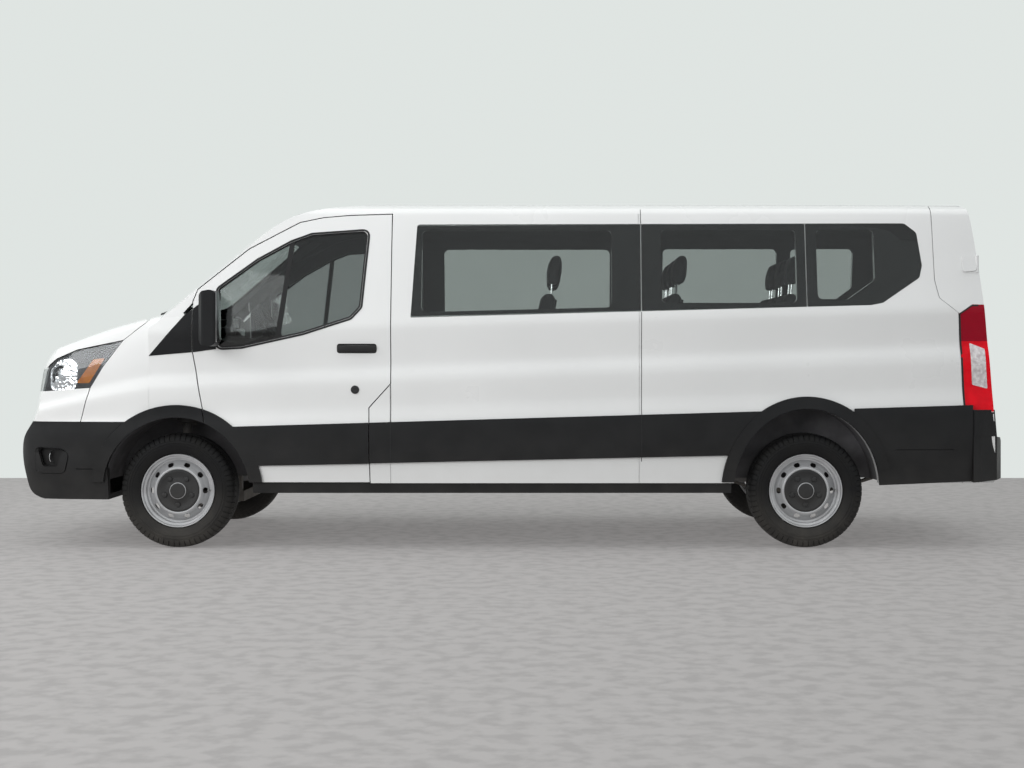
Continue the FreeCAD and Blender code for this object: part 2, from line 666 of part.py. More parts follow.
# Fog lamp pockets in the bumper's corners, and the lower air intake.
FOG_OUTER = [(-2837, 610), (-2606, 580), (-2640, 443), (-2831, 443)]
FOG_INNER = [(-2811, 596), (-2652, 592), (-2690, 490), (-2776, 490)]
fog_pocket = prism_xz(FOG_OUTER, left_y, -500, 45).cut(nose_solid(10)).fuse(
    prism_xz(FOG_INNER, left_y, -500, 20).cut(nose_solid(38)))
intake = prism_yz([(-520, 520), (520, 520), (470, 400), (-470, 400)], -3200, -2700, 30)
low_line = prism_xz([(-2572, 476), (-2380, 476), (-2380, 470), (-2572, 470)], left_y, -600).cut(nose_solid(8))
bumper = nose_shell.common(bumper_zone).cut(
    [flare_bound, front_opening.common(box(-2600, -1400, left_y, 1200, flare_end_z, 1000)),
     fog_pocket, mirrored(fog_pocket), intake, low_line, mirrored(low_line)])
keep("front_bumper", bumper)
cowl = nose_side_form(24).cut(nose_side_form(32)).common(side_form(80)).common(
    Part.makeCylinder(hood_arc_radius - gap, 2000, Vector(hood_arc_x, 0, 500)))
cowl_half = -fender_inner_y - seat
cowl = cowl.cut(cabin_form(-seat)).common(box(-2400, -2000, -cowl_half, cowl_half, 1200, 1600))
keep("cowl_panel", cowl)

# Lower body: rockers and rear bumper.
rocker_front_x = front_axle_x + size("front_arch_radius") + 12
rocker_back_x = rear_axle_x - rear_arch_width - 12
rocker = side_form(12).common(box(rocker_front_x, rocker_back_x, left_y, -half_width + 150,
                                  size("rocker_bottom"), sill_top - gap))
keep("rockers", Part.makeCompound([rocker, mirrored(rocker)]))
bumper_side = [
    (2772, 826), (2910, 826), (2926, 664), (2966, 658), (length / 2, 600), (length / 2, 470),
    (2976, 411), (2772, 395)]
bumper_plan = [
    (2700, -1022), (2820, -1012), (2925, -960), (2975, -860), (length / 2, -500),
    (length / 2, 500), (2975, 860), (2925, 960), (2820, 1012), (2700, 1022)]
rear_bumper = prism_xz(bumper_side, left_y, 1200).common(prism_xy(bumper_plan, 200, 900))
rear_bumper = rear_bumper.cut([cabin, box(2600, 2925, -940, 940, 200, 640),
                               box(2600, 3100, -925, 925, 664, 900)])
keep("rear_bumper", rear_bumper)

# Wheel housings inside the arches.
liner = size("liner_thickness")
front_arch = size("front_arch_radius")


inside_walls = side_form(wall + seat)


def housing(x, half_wide, high, y_inner):
    outer = ellipse_y(x, hub_height, half_wide + 3 + liner, high + 3.01 + liner, left_y, y_inner)
    inner = ellipse_y(x, hub_height, half_wide + 3, high + 3.01, left_y, y_inner - liner)
    half = box(x - 700, x + 700, left_y, y_inner, hub_height + 60, 1200)
    return outer.cut(inner).common(half).common(inside_walls)


def bar(start, end, radius):
    return Part.makeCylinder(radius, end.sub(start).Length, start, end.sub(start))


# The steering axis runs from the lower ball joint to the strut's top.
ball_joint = Vector(front_axle_x, -790, 235)
strut_top = Vector(front_axle_x, -640, 905)
steer_axis = strut_top.sub(ball_joint)
steer_unit = steer_axis * (1 / steer_axis.Length)
spring_radius = 58
tower_bore = bar(ball_joint, strut_top + steer_unit * seat, spring_radius + 8)
tower = bar(ball_joint + steer_axis * 0.78, strut_top + steer_unit * 12, spring_radius + 20)
housing_left = [
    housing(front_axle_x, front_arch, front_arch, -520).fuse(tower).cut([tower_bore, nose_shell]),
    housing(rear_axle_x, rear_arch_width, rear_arch_height, -700),
]
keep("wheel_housings", Part.makeCompound(housing_left + [mirrored(one) for one in housing_left]))

# Floor and underbody.
floor_top = size("floor_top")
floor_low = floor_top - size("floor_thickness")
well_margin = 3 + liner + 1
rear_well = ellipse_y(rear_axle_x, hub_height, rear_arch_width + well_margin,
                      rear_arch_height + well_margin, -1200, -699)
rear_wells = rear_well.fuse(mirrored(rear_well))
front_well = front_arch + well_margin
front_wells = cylinder_y(front_axle_x, hub_height, front_well, -1200, -519).fuse(
    cylinder_y(front_axle_x, hub_height, front_well, 519, 1200))
firewall_x = -2050
floor = inside_walls.common(box(firewall_x, 2850, -1000, 1000, floor_low, floor_top))
floor = floor.cut([rear_wells, front_wells])
# Beside the front doors the floor stops short of them.
door_side = prism_xz([(-1900, 600), (-660, 600), (-660, 760), (-1900, 760)], left_y, 1200)
pillar_side = box(pillar_x - 60, pillar_x + 90, left_y, 1200, 600, 760)
floor = floor.cut([door_side.cut(side_form(wall + 8)),
                   pillar_side.cut(side_form(wall + pillar_depth + seat))])
keep("floor", floor.cut(box(2700, 2900, -1000, 1000, 600, 720).cut(cabin_form(wall + flange_depth + seat))))
firewall = inside_walls.common(cabin_form(wall + seat)).common(
    box(firewall_x - 40, firewall_x, -1000, 1000, floor_low, 1330))
keep("firewall", firewall.cut(front_wells))

rail_y = size("rail_spacing") / 2
rail_width = size("rail_width")
rail_height = size("rail_height")
rail_top = floor_low - seat
rails = []
for side in (-1, 1):
    y_from = side * rail_y - rail_width / 2
    rails.append(box(-3000, 2900, y_from, y_from + rail_width, rail_top - rail_height, rail_top))
cross_x = [-2750, -1250, -500, 300, 1050, 2300, 2780]
crossbars = [
    box(x - 30, x + 30, -rail_y + rail_width / 2, rail_y - rail_width / 2,
        rail_top - 110, rail_top - 10) for x in cross_x]
frame = rails[0].fuse([rails[1]] + crossbars)
front_end = box(-3100, -2500, -600, 600, 400, 800).cut(nose_solid(wall + seat))
rear_end = box(2600, 3000, -600, 600, 400, 800).cut(cabin_form(wall + flange_depth + seat))
# Pads under the rails for a jack.
pad_length = 100
pad_width = 60
pad_depth = 8
rail_low = rail_top - rail_height
jack_pads = [
    box(x - pad_length / 2, x + pad_length / 2, side * rail_y - pad_width / 2, side * rail_y + pad_width / 2,
        rail_low - pad_depth, rail_low) for x in (-1400, 900) for side in (-1, 1)]
keep("chassis_frame", frame.cut([front_end, rear_end]).fuse(jack_pads))
panel_x = -2730
slam_panel = nose_solid(wall + seat).common(
    box(panel_x - 40, panel_x, -540, 540, rail_top + seat, 1400)).cut(
    box(panel_x - 50, panel_x + 10, -380, 380, 700, 1080))
keep("radiator_panel", slam_panel)

# Wheels, by one outline each for tyre and rim.
tyre_radius = size("tyre_diameter") / 2
rim_radius = size("rim_diameter") / 2
half_tyre = size("tyre_width") / 2
half_rim = size("rim_width") / 2


def revolved(points, x, y, z):
    """Turns a (radius, offset along Y) outline about a wheel's axle."""
    face = polygon([(x + radius, y + offset, z) for radius, offset in points])
    return face.revolve(Vector(x, y, z), Vector(0, 1, 0), 360)


# Rim and disc: (radius, distance outwards from the wheel's middle plane). The disc bulges out
# to a ring near the flange's plane, and the hub cover with its cap closes its middle.
disc_offset = size("disc_offset")
RIM_OUTLINE = [
    (rim_radius - 0.5, 93), (rim_radius - 3, 95.5), (rim_radius - 8, 94), (rim_radius - 11, 88),
    (rim_radius - 13, 78), (rim_radius - 24, 73), (rim_radius - 26.5, 68), (rim_radius - 28, 44),
    (182, 43), (172, 52), (158, 64), (148, 76), (140, 84.5), (133, 87), (127.5, 85), (125.5, 82),
    (122, 86.5), (110, 86.5), (85, 82), (60, 84), (49, 90), (49, 98), (45, 100), (0.01, 100),
    (0.01, disc_offset), (118, disc_offset), (126, 74), (133, 79), (140, 75), (150, 62), (166, 47),
    (180, 34), (rim_radius - 34, 20), (rim_radius - 32, -50), (rim_radius - 27, -70), (rim_radius - 16, -80),
    (rim_radius - 10, -95), (rim_radius - 3, -95.5), (rim_radius - 0.5, -93), (rim_radius - 0.5, -80),
    (rim_radius - 20, -66), (rim_radius - 24, -50), (rim_radius - 22, 60), (rim_radius - 0.5, 76),
]
hole_half = 12
hole_spread = 6


def hand_hole(x, y, angle):
    """One oval hole through the disc, long side along the wheel's turning."""
    circle = size("hand_hole_circle")
    ends = [
        Part.makeCylinder(hole_half, 200, Vector(x + circle, y - 100, hub_height + shift), Vector(0, 1, 0))
        for shift in (-hole_spread, hole_spread)]
    middle = box(x + circle - hole_half, x + circle + hole_half, y - 100, y + 100,
                 hub_height - hole_spread, hub_height + hole_spread)
    return ends[0].fuse([ends[1], middle]).rotate(Vector(x, y, hub_height), Vector(0, 1, 0), angle)


def wheel_disc(x, y, side):
    rim = revolved([(radius, side * offset) for radius, offset in RIM_OUTLINE], x, y, hub_height)
    count = int(size("hand_hole_count"))
    return rim.cut([hand_hole(x, y, 360 * index / count) for index in range(count)])


def wheel(name, x, side, track):
    y = side * track / 2
    tyre_points = [
        (rim_radius + seat, -half_rim + 8), (rim_radius + 10, -half_rim - 4),
        (rim_radius + 62, -half_tyre), (tyre_radius - 34, -half_tyre + 5),
        (tyre_radius - 8, -half_tyre + 24), (tyre_radius, -half_tyre + 50),
        (tyre_radius, half_tyre - 50), (tyre_radius - 8, half_tyre - 24),
        (tyre_radius - 34, half_tyre - 5), (rim_radius + 62, half_tyre),
        (rim_radius + 10, half_rim + 4), (rim_radius + seat, half_rim - 8),
    ]
    tyre = revolved(tyre_points, x, y, hub_height)
    keep("tyre_" + name, tyre)
    keep("rim_" + name, wheel_disc(x, y, side))


wheel("front_left", front_axle_x, -1, size("track_front"))
wheel("front_right", front_axle_x, 1, size("track_front"))
wheel("rear_left", rear_axle_x, -1, size("track_rear"))
wheel("rear_right", rear_axle_x, 1, size("track_rear"))

# Front knuckles: hub, upright and strut on the steering axis.
hub_face_y = -size("track_front") / 2 - disc_offset + seat
hub_end_y = -735
knuckle = bar(Vector(front_axle_x, hub_face_y, hub_height), Vector(front_axle_x, hub_end_y, hub_height), 62)
knuckle = knuckle.fuse([
    bar(ball_joint, ball_joint + steer_axis * 0.30, 24),
    bar(ball_joint + steer_axis * 0.30, ball_joint + steer_axis * 0.74, 27),
    bar(ball_joint + steer_axis * 0.74, strut_top, spring_radius),
])
keep("knuckle_left", knuckle)
keep("knuckle_right", mirrored(knuckle))
joint_seat = ball_joint - steer_unit * seat
boss = bar(ball_joint - steer_unit * 45, joint_seat, 25)
arm_end = ball_joint - steer_unit * 32
arm = bar(arm_end, Vector(front_axle_x - 60, -420, 262), 19)
arm = arm.fuse([bar(arm_end, Vector(front_axle_x + 90, -420, 262), 19), boss])
cross_member = box(front_axle_x - 150, front_axle_x + 300, -430, 430, 235, 300)
subframe = cross_member.fuse([arm, mirrored(arm)])
posts = [box(x, x + 60, side * rail_y - 30, side * rail_y + 30, 300, rail_low - seat)
         for x in (front_axle_x - 140, front_axle_x + 230) for side in (-1, 1)]
subframe = subframe.fuse(posts)
keep("front_subframe", subframe)

# Rear axle with leaf springs.
half_rear = size("track_rear") / 2
pinion_x = rear_axle_x - 240
pinion_z = hub_height + 20
axle_end = half_rear + disc_offset - seat
axle = cylinder_y(rear_axle_x, hub_height, size("axle_tube_radius"), -axle_end, axle_end)
axle = axle.fuse([
    Part.makeSphere(150, Vector(rear_axle_x, 0, hub_height)),
    cylinder_y(rear_axle_x, hub_height, 100, -axle_end, -axle_end + 60),
    cylinder_y(rear_axle_x, hub_height, 100, axle_end - 60, axle_end),
    bar(Vector(pinion_x, 0, pinion_z), Vector(rear_axle_x - 100, 0, pinion_z), 55),
])
keep("rear_axle", axle)
spring_y = 560
spring_top = hub_height - size("axle_tube_radius") - seat
leaf = prism_xz([
    (rear_axle_x - 700, 470), (rear_axle_x - 300, 330), (rear_axle_x - 60, spring_top - 12),
    (rear_axle_x + 60, spring_top - 12), (rear_axle_x + 300, 330),
    (rear_axle_x + 680, 450), (rear_axle_x + 680, 468), (rear_axle_x + 300, 346),
    (rear_axle_x + 60, spring_top), (rear_axle_x - 60, spring_top),
    (rear_axle_x - 300, 346), (rear_axle_x - 700, 488)], -spring_y - 32, -spring_y + 32)
rail_side = -rail_y - rail_width / 2 - seat
hanger = box(rear_axle_x - 740, rear_axle_x - 660, -spring_y - 36, rail_side, 460, 560).fuse(
    box(rear_axle_x + 640, rear_axle_x + 710, -spring_y - 36, rail_side, 440, 560))
leaf = leaf.fuse(hanger)
keep("leaf_springs", Part.makeCompound([leaf, mirrored(leaf)]))
gearbox_end_x = -1500
gearbox_z = 505
shaft_radius = 38
joint_length = 42
front_joint = Vector(gearbox_end_x + seat + joint_length, 0, gearbox_z)
rear_joint = Vector(pinion_x - seat - joint_length, 0, pinion_z)
shaft = bar(Vector(gearbox_end_x + seat, 0, gearbox_z), front_joint, shaft_radius).fuse([
    bar(front_joint, rear_joint, shaft_radius),
    Part.makeSphere(shaft_radius, front_joint),
    Part.makeSphere(shaft_radius, rear_joint),
    bar(rear_joint, Vector(pinion_x - seat, 0, pinion_z), shaft_radius)])
keep("propeller_shaft", shaft)
engine = box(-2560, -2110, -300, 300, 480, 1080).fuse(
    box(-2110, gearbox_end_x, -130, 130, 425, 630))
mount_reach = rail_y - rail_width / 2 - seat
engine = engine.fuse(box(-2330, -2250, -mount_reach, mount_reach, 540, 600))
keep("engine", engine)
keep("fuel_tank", box(-900, 250, -395, -60, 330, 530))
exhaust = bar(Vector(-1200, 260, 430), Vector(2300, 260, 430), 32).fuse(
    bar(Vector(-100, 260, 430), Vector(800, 260, 430), 100))
crossbar_low = rail_top - 110
exhaust = exhaust.fuse([box(x - 8, x + 8, 250, 270, 440, crossbar_low - seat) for x in (300, 1050, 2280)])
keep("exhaust", exhaust)

# Cab and seats.
dash = side_form(wall + 8).common(prism_xz(
    [(firewall_x + seat, 945), (-1700, 945), (-1640, 1100), (-1660, 1230), (-1800, 1270),
     (firewall_x + seat, 1290)], -1000, 1000)).common(cabin_form(wall + seat))
wheel_centre = Vector(-1480, -430, 1290)
column_tilt = math.radians(62)
column_direction = Vector(-math.sin(column_tilt), 0, -math.cos(column_tilt))
column = bar(wheel_centre + column_direction * (60 + seat), wheel_centre + column_direction * 330, 24)
keep("dashboard", dash.fuse(column))
ring = Part.makeTorus(190, 15, wheel_centre, column_direction)
spokes = [
    Part.makeCylinder(12, 190, wheel_centre, Vector(0, 1, 0)),
    Part.makeCylinder(12, 190, wheel_centre, Vector(0, -1, 0)),
    Part.makeCylinder(45, 60, wheel_centre, column_direction),
]
keep("steering_wheel", ring.fuse(spokes))


def passenger_seat(x, y_from, y_to, low):
    """Squab, reclined back and headrest of one seat; x is where the back meets the squab."""
    squab = prism_xz([(x - 500, low), (x + 20, low), (x + 20, low + 130), (x - 500, low + 160)], y_from, y_to, 45)
    back = prism_xz([(x - 70, low + 60), (x + 30, low + 30), (x + 160, low + 610), (x + 60, low + 625)],
                    y_from + 10, y_to - 10, 40)
    middle = (y_from + y_to) / 2
    head = prism_xz([(x + 72, low + 640), (x + 172, low + 640), (x + 190, low + 845), (x + 110, low + 850)],
                    middle - 135, middle + 135, 35)
    posts = [box(x + 105, x + 121, middle + shift - 8, middle + shift + 8, low + 580, low + 700)
             for shift in (-60, 60)]
    return squab.fuse([back, head] + posts)


seat_low = floor_top + 230
front_seats = [passenger_seat(-930, -680, -180, seat_low), passenger_seat(-930, 180, 680, seat_low)]
keep("front_seats", Part.makeCompound(front_seats))
benches = []
bench_x = (150, 930, 1643)
bench_low = floor_top + 240
for x in bench_x:
    for y in (-690, -240, 210):
        benches.append(passenger_seat(x, y, y + 440, bench_low))
keep("rear_benches", Part.makeCompound(benches))
bases = []
for x in bench_x:
    for y in (-640, -20, 580):
        bases.append(box(x - 460, x - 60, y, y + 40, floor_top + seat, bench_low - seat))
for y in (-640, -260, 220, 600):
    bases.append(box(-1390, -990, y, y + 40, floor_top + seat, seat_low - seat))
keep("seat_bases", Part.makeCompound(bases))

# Mirrors, riding on the doors.
mirror_side = [(-1797, 1215), (-1797, 1520), (-1689, 1541), (-1689, 1196)]
mirror_plan = [(-1797, -1190), (-1770, -1235), (-1689, -1235), (-1689, -1070), (-1775, -1070), (-1797, -1100)]
mirror_arm = prism_xz([(-1785, 1205), (-1785, 1265), (-1725, 1265), (-1725, 1205)], -1080, -960, 12)
mirror = prism_xz(mirror_side, -1300, -1000, 40).common(prism_xy(mirror_plan, 1100, 1600, 22))
mirror_glass = box(-1695, -1680, -1225, -1080, 1225, 1525)
mirror = mirror.cut(mirror_glass).fuse(mirror_arm).cut(side_form(-corner_proud - seat))
keep("mirror_left", mirror)
keep("mirror_right", mirrored(mirror))

doc.recompute()
failed = [feature.Label for feature in doc.Objects
          if "Invalid" in feature.State or "Error" in feature.State]
for feature in subparts:
    if feature.Shape.isNull() or not feature.Shape.isValid():
        failed.append(feature.Label)
if failed:
    raise RuntimeError("failed: " + ", ".join(failed))
os.makedirs("parts", exist_ok=True)
for feature in subparts:
    feature.Shape.exportStep("parts/%s.step" % feature.Label)
    print(feature.Label, len(feature.Shape.Solids), round(feature.Shape.Volume / 1e6, 2))
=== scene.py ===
import math

import bmesh
import bpy
from mathutils import Matrix, Vector
from mathutils.bvhtree import BVHTree


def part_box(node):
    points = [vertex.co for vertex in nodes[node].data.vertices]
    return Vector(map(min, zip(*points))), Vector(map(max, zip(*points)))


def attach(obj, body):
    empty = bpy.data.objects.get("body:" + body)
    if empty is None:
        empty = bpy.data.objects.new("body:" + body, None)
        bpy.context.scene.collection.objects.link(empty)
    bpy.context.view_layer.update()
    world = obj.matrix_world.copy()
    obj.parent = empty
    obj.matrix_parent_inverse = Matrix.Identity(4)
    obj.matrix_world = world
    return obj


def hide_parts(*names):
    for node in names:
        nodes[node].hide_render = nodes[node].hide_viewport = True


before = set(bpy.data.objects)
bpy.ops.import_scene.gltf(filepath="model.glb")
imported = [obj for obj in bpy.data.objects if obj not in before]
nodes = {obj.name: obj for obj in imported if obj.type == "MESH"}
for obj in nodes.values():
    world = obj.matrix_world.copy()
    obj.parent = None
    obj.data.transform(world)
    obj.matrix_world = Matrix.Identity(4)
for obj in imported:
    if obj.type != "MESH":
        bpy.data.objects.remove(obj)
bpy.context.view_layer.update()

# The studio: a pale stone floor that glows a little, a pale wall behind the van, and soft
# light from above and from the viewer's side. The wall is seen from the front only, so that
# the other sides of the van can be viewed through it.
WALL_COLOUR = (0.74, 0.78, 0.76, 1)
FLOOR_COLOUR = (0.225, 0.2175, 0.215, 1)
FLOOR_GLOW = 0.90
FLOOR_WEAR = 0.86
STONE_SCALE = 11.0
WALL_DISTANCE = 4.85
STAGE_REACH = 60
STAGE_ROUGHNESS = 0.85


def feed(tree, socket, value):
    """Links a socket to another one, or sets it to a plain value."""
    if isinstance(value, bpy.types.NodeSocket):
        tree.links.new(value, socket)
    else:
        socket.default_value = value


def node_in(tree, kind, operation=None, **values):
    """A new node with its operation and its inputs by name."""
    node = tree.nodes.new("ShaderNode" + kind)
    if operation:
        node.operation = operation
    for label, value in values.items():
        feed(tree, node.inputs[label.replace("_", " ")], value)
    return node


def math_in(tree, operation, first, second):
    step = node_in(tree, "Math", operation)
    feed(tree, step.inputs[0], first)
    feed(tree, step.inputs[1], second)
    return step.outputs[0]


def mix_in(tree, factor, first, second, kind="RGBA"):
    """A blend of two colours, or of two values."""
    mix = tree.nodes.new("ShaderNodeMix")
    mix.data_type = kind
    for label, value in (("Factor", factor), ("A", first), ("B", second)):
        feed(tree, mix.inputs[label], value)
    return mix.outputs["Result"]


def object_place(tree):
    """The place of a point on its object."""
    return tree.nodes.new("ShaderNodeTexCoord").outputs["Object"]


def seen_from_front(tree, shader, colour):
    """A flat glow where the wall is looked at from the front, and nothing from behind."""
    path = tree.nodes.new("ShaderNodeLightPath").outputs
    seen = math_in(tree, "MAXIMUM", path["Is Camera Ray"], path["Is Glossy Ray"])
    seen_through = math_in(tree, "MAXIMUM", seen, path["Is Transmission Ray"])
    lit = tree.nodes.new("ShaderNodeMixShader")
    feed(tree, lit.inputs[0], seen_through)
    feed(tree, lit.inputs[1], shader.outputs[0])
    feed(tree, lit.inputs[2], node_in(tree, "Emission", Color=colour).outputs[0])
    sided = tree.nodes.new("ShaderNodeMixShader")
    feed(tree, sided.inputs[0], tree.nodes.new("ShaderNodeNewGeometry").outputs["Backfacing"])
    feed(tree, sided.inputs[1], lit.outputs[0])
    feed(tree, sided.inputs[2], tree.nodes.new("ShaderNodeBsdfTransparent").outputs[0])
    tree.links.new(sided.outputs[0], tree.nodes["Material Output"].inputs["Surface"])


def paved(tree, shader, colour):
    """Uneven stone: the colour and its glow vary over the floor."""
    stones = node_in(tree, "TexNoise", Scale=STONE_SCALE, Detail=9.0, Vector=object_place(tree))
    uneven = node_in(tree, "MapRange", From_Min=0.38, From_Max=0.56, Value=stones.outputs["Fac"])
    worn = mix_in(tree, uneven.outputs["Result"], [part * FLOOR_WEAR for part in colour], colour)
    feed(tree, shader.inputs["Base Color"], worn)
    feed(tree, shader.inputs["Emission Color"], worn)


def mesh_of(form, name):
    """Turns a form into a mesh and frees the form."""
    mesh = bpy.data.meshes.new(name)
    form.to_mesh(mesh)
    form.free()
    return mesh


def shown(name, data):
    """A new object in the scene."""
    thing = bpy.data.objects.new(name, data)
    bpy.context.scene.collection.objects.link(thing)
    return thing


def studio_sheet(name, corners, colour, glow, surfacing):
    """A flat sheet of the studio, with a glow and what its surfacing adds."""
    sheet = bmesh.new()
    sheet.faces.new([sheet.verts.new(corner) for corner in corners])
    mesh = mesh_of(sheet, name)
    piece = shown(name, mesh)
    surface = bpy.data.materials.new(name)
    surface.use_nodes = True
    shader = surface.node_tree.nodes["Principled BSDF"]
    for label, value in (("Base Color", colour), ("Emission Color", colour), ("Emission Strength", glow),
                         ("Roughness", STAGE_ROUGHNESS), ("Specular IOR Level", 0.2)):
        shader.inputs[label].default_value = value
    surfacing(surface.node_tree, shader, colour)
    mesh.materials.append(surface)


studio_sheet("floor", [
    (-STAGE_REACH, -STAGE_REACH, 0), (STAGE_REACH, -STAGE_REACH, 0),
    (STAGE_REACH, STAGE_REACH, 0), (-STAGE_REACH, STAGE_REACH, 0)], FLOOR_COLOUR, FLOOR_GLOW, paved)
studio_sheet("wall", [
    (-STAGE_REACH, WALL_DISTANCE, -0.02), (STAGE_REACH, WALL_DISTANCE, -0.02),
    (STAGE_REACH, WALL_DISTANCE, STAGE_REACH), (-STAGE_REACH, WALL_DISTANCE, STAGE_REACH)],
    WALL_COLOUR, 0, seen_from_front)

world = bpy.data.worlds.new("studio")
bpy.context.scene.world = world
world.use_nodes = True
world.node_tree.nodes["Background"].inputs["Color"].default_value = (0.93, 0.96, 0.97, 1)
world.node_tree.nodes["Background"].inputs["Strength"].default_value = 0.74

LAMPS = [
    # name, place, aimed at, width, height, power
    ("overhead", (0, -1.0, 7.5), (0, 0, 0), 11, 6, 170),
    ("front", (-5.8, -9.5, 3.4), (-1.0, 0, 0.7), 6, 4, 465),
    ("nose", (-8, -2.5, 4.8), (-2.4, 0, 1.1), 5, 3, 200),
]
for lamp_name, place, target, lamp_width, lamp_height, power in LAMPS:
    light = bpy.data.lights.new(lamp_name, "AREA")
    light.shape = "RECTANGLE"
    light.size = lamp_width
    light.size_y = lamp_height
    light.energy = power
    lamp_object = shown(lamp_name, light)
    lamp_object.location = place
    aim = Vector(target) - Vector(place)
    lamp_object.rotation_euler = aim.to_track_quat("-Z", "Y").to_euler()
    lamp_object.visible_glossy = lamp_name == "overhead"
bpy.context.scene.view_settings.view_transform = "Standard"

# The camera stands level, square to the van's left side, a little behind its middle. The
# picture is shifted, so that the camera's axis lies right of and above its middle.
CAMERA_PLACE = (0.2375, -10.984, 1.141)
LENS = 59
IMAGE_WIDTH = 1024
AXIS_RIGHT = 35
AXIS_UP = 27
camera = shown("camera", bpy.data.cameras.new("camera"))
camera.location = CAMERA_PLACE
camera.rotation_euler = (math.pi / 2, 0, 0)
camera.data.lens = LENS
camera.data.shift_x = -AXIS_RIGHT / IMAGE_WIDTH
camera.data.shift_y = -AXIS_UP / IMAGE_WIDTH
bpy.context.scene.camera = camera

# The painted panels: pressed steel in gloss white with a clear coat over it. The coat
# shows a faint ripple, and a trace of dust lies low on the panels.
LEFT = -1
RIGHT = 1
SIDES = (("left", LEFT), ("right", RIGHT))
NOSE = -1
TAIL = 1


def effect(name, inputs, outputs):
    """An empty effect that several finishes share, with its named inputs and outputs."""
    group = bpy.data.node_groups.new(name, "ShaderNodeTree")
    for label, value in inputs:
        socket = group.interface.new_socket(label, in_out="INPUT", socket_type="NodeSocketFloat")
        socket.default_value = value
    for label in outputs:
        group.interface.new_socket(label, in_out="OUTPUT", socket_type="NodeSocketFloat")
    return group, group.nodes.new("NodeGroupInput"), group.nodes.new("NodeGroupOutput")


def noise_in(group, coordinates, scale, detail=3.0):
    return node_in(group, "TexNoise", Detail=detail, Vector=coordinates, Scale=scale).outputs["Fac"]


# Blotches: a soft uneven tone over the surface.
blotches, blotches_in, blotches_out = effect("blotches", [("Scale", 3.0)], ["Mask"])
soft = noise_in(blotches, object_place(blotches), blotches_in.outputs["Scale"], 5.0)
spread = node_in(blotches, "MapRange", From_Min=0.36, From_Max=0.64, Value=soft)
blotches.links.new(spread.outputs["Result"], blotches_out.inputs["Mask"])

# Grain: the fine pitted skin of moulded plastic and rubber.
grain, grain_in, grain_out = effect("grain", [("Scale", 400.0)], ["Height"])
place = object_place(grain)
pits = node_in(grain, "TexVoronoi", Vector=place, Scale=grain_in.outputs["Scale"])
pits.feature = "SMOOTH_F1"
fine = noise_in(grain, place, grain_in.outputs["Scale"], 2.0)
grain.links.new(math_in(grain, "ADD", pits.outputs["Distance"], math_in(
    grain, "MULTIPLY", fine, 0.5)), grain_out.inputs["Height"])

# Road dust: more towards the ground, broken up by noise.
dust, dust_in, dust_out = effect("road dust", [("Top", 0.6), ("Amount", 0.2)], ["Mask"])
place = object_place(dust)
height_up = node_in(dust, "SeparateXYZ", Vector=place).outputs["Z"]
low = math_in(dust, "SUBTRACT", 1, math_in(dust, "DIVIDE", height_up, dust_in.outputs["Top"]))
low = math_in(dust, "MAXIMUM", low, 0)
broken = math_in(dust, "MULTIPLY", noise_in(dust, place, 9.0, 8.0), low)
dust.links.new(math_in(dust, "MULTIPLY", math_in(dust, "MULTIPLY", broken, 2.0),
                       dust_in.outputs["Amount"]), dust_out.inputs["Mask"])
DUST_COLOUR = (0.36, 0.33, 0.29, 1)


def group_in(tree, group, **values):
    """An effect placed in a material with its own values."""
    node = tree.nodes.new("ShaderNodeGroup")
    node.node_tree = group
    for label, value in values.items():
        node.inputs[label].default_value = value
    return node


def finish(name, tones, roughness, blotch_scale=3.0, grain_scale=0.0, grain_depth=0.0,
           dusty=0.0, dust_top=0.6, **fixed):
    """A finish with two tones in soft blotches, an uneven gloss, a grain and some road dust."""
    surface = bpy.data.materials.new(name)
    surface.use_nodes = True
    tree = surface.node_tree
    shader = tree.nodes["Principled BSDF"]
    for socket, value in fixed.items():
        shader.inputs[socket.replace("_", " ")].default_value = value
    mask = group_in(tree, blotches, Scale=blotch_scale).outputs["Mask"]
    colour = mix_in(tree, mask, (*tones[0], 1), (*tones[1], 1))
    dull = node_in(tree, "MapRange", To_Min=roughness[0], To_Max=roughness[1],
                   Value=mask).outputs["Result"]
    if dusty:
        film = group_in(tree, dust, Top=dust_top, Amount=dusty).outputs["Mask"]
        colour = mix_in(tree, film, colour, DUST_COLOUR)
        dull = math_in(tree, "ADD", dull, math_in(tree, "MULTIPLY", film, 0.4))
    tree.links.new(colour, shader.inputs["Base Color"])
    tree.links.new(dull, shader.inputs["Roughness"])
    if grain_scale:
        pitted = group_in(tree, grain, Scale=grain_scale).outputs["Height"]
        bump = node_in(tree, "Bump", Distance=grain_depth, Height=pitted)
        tree.links.new(bump.outputs["Normal"], shader.inputs["Normal"])
    return surface


def dress(surface, *names):
    """Gives CAD nodes a finish."""
    for name in names:
        nodes[name].data.materials.clear()
        nodes[name].data.materials.append(surface)


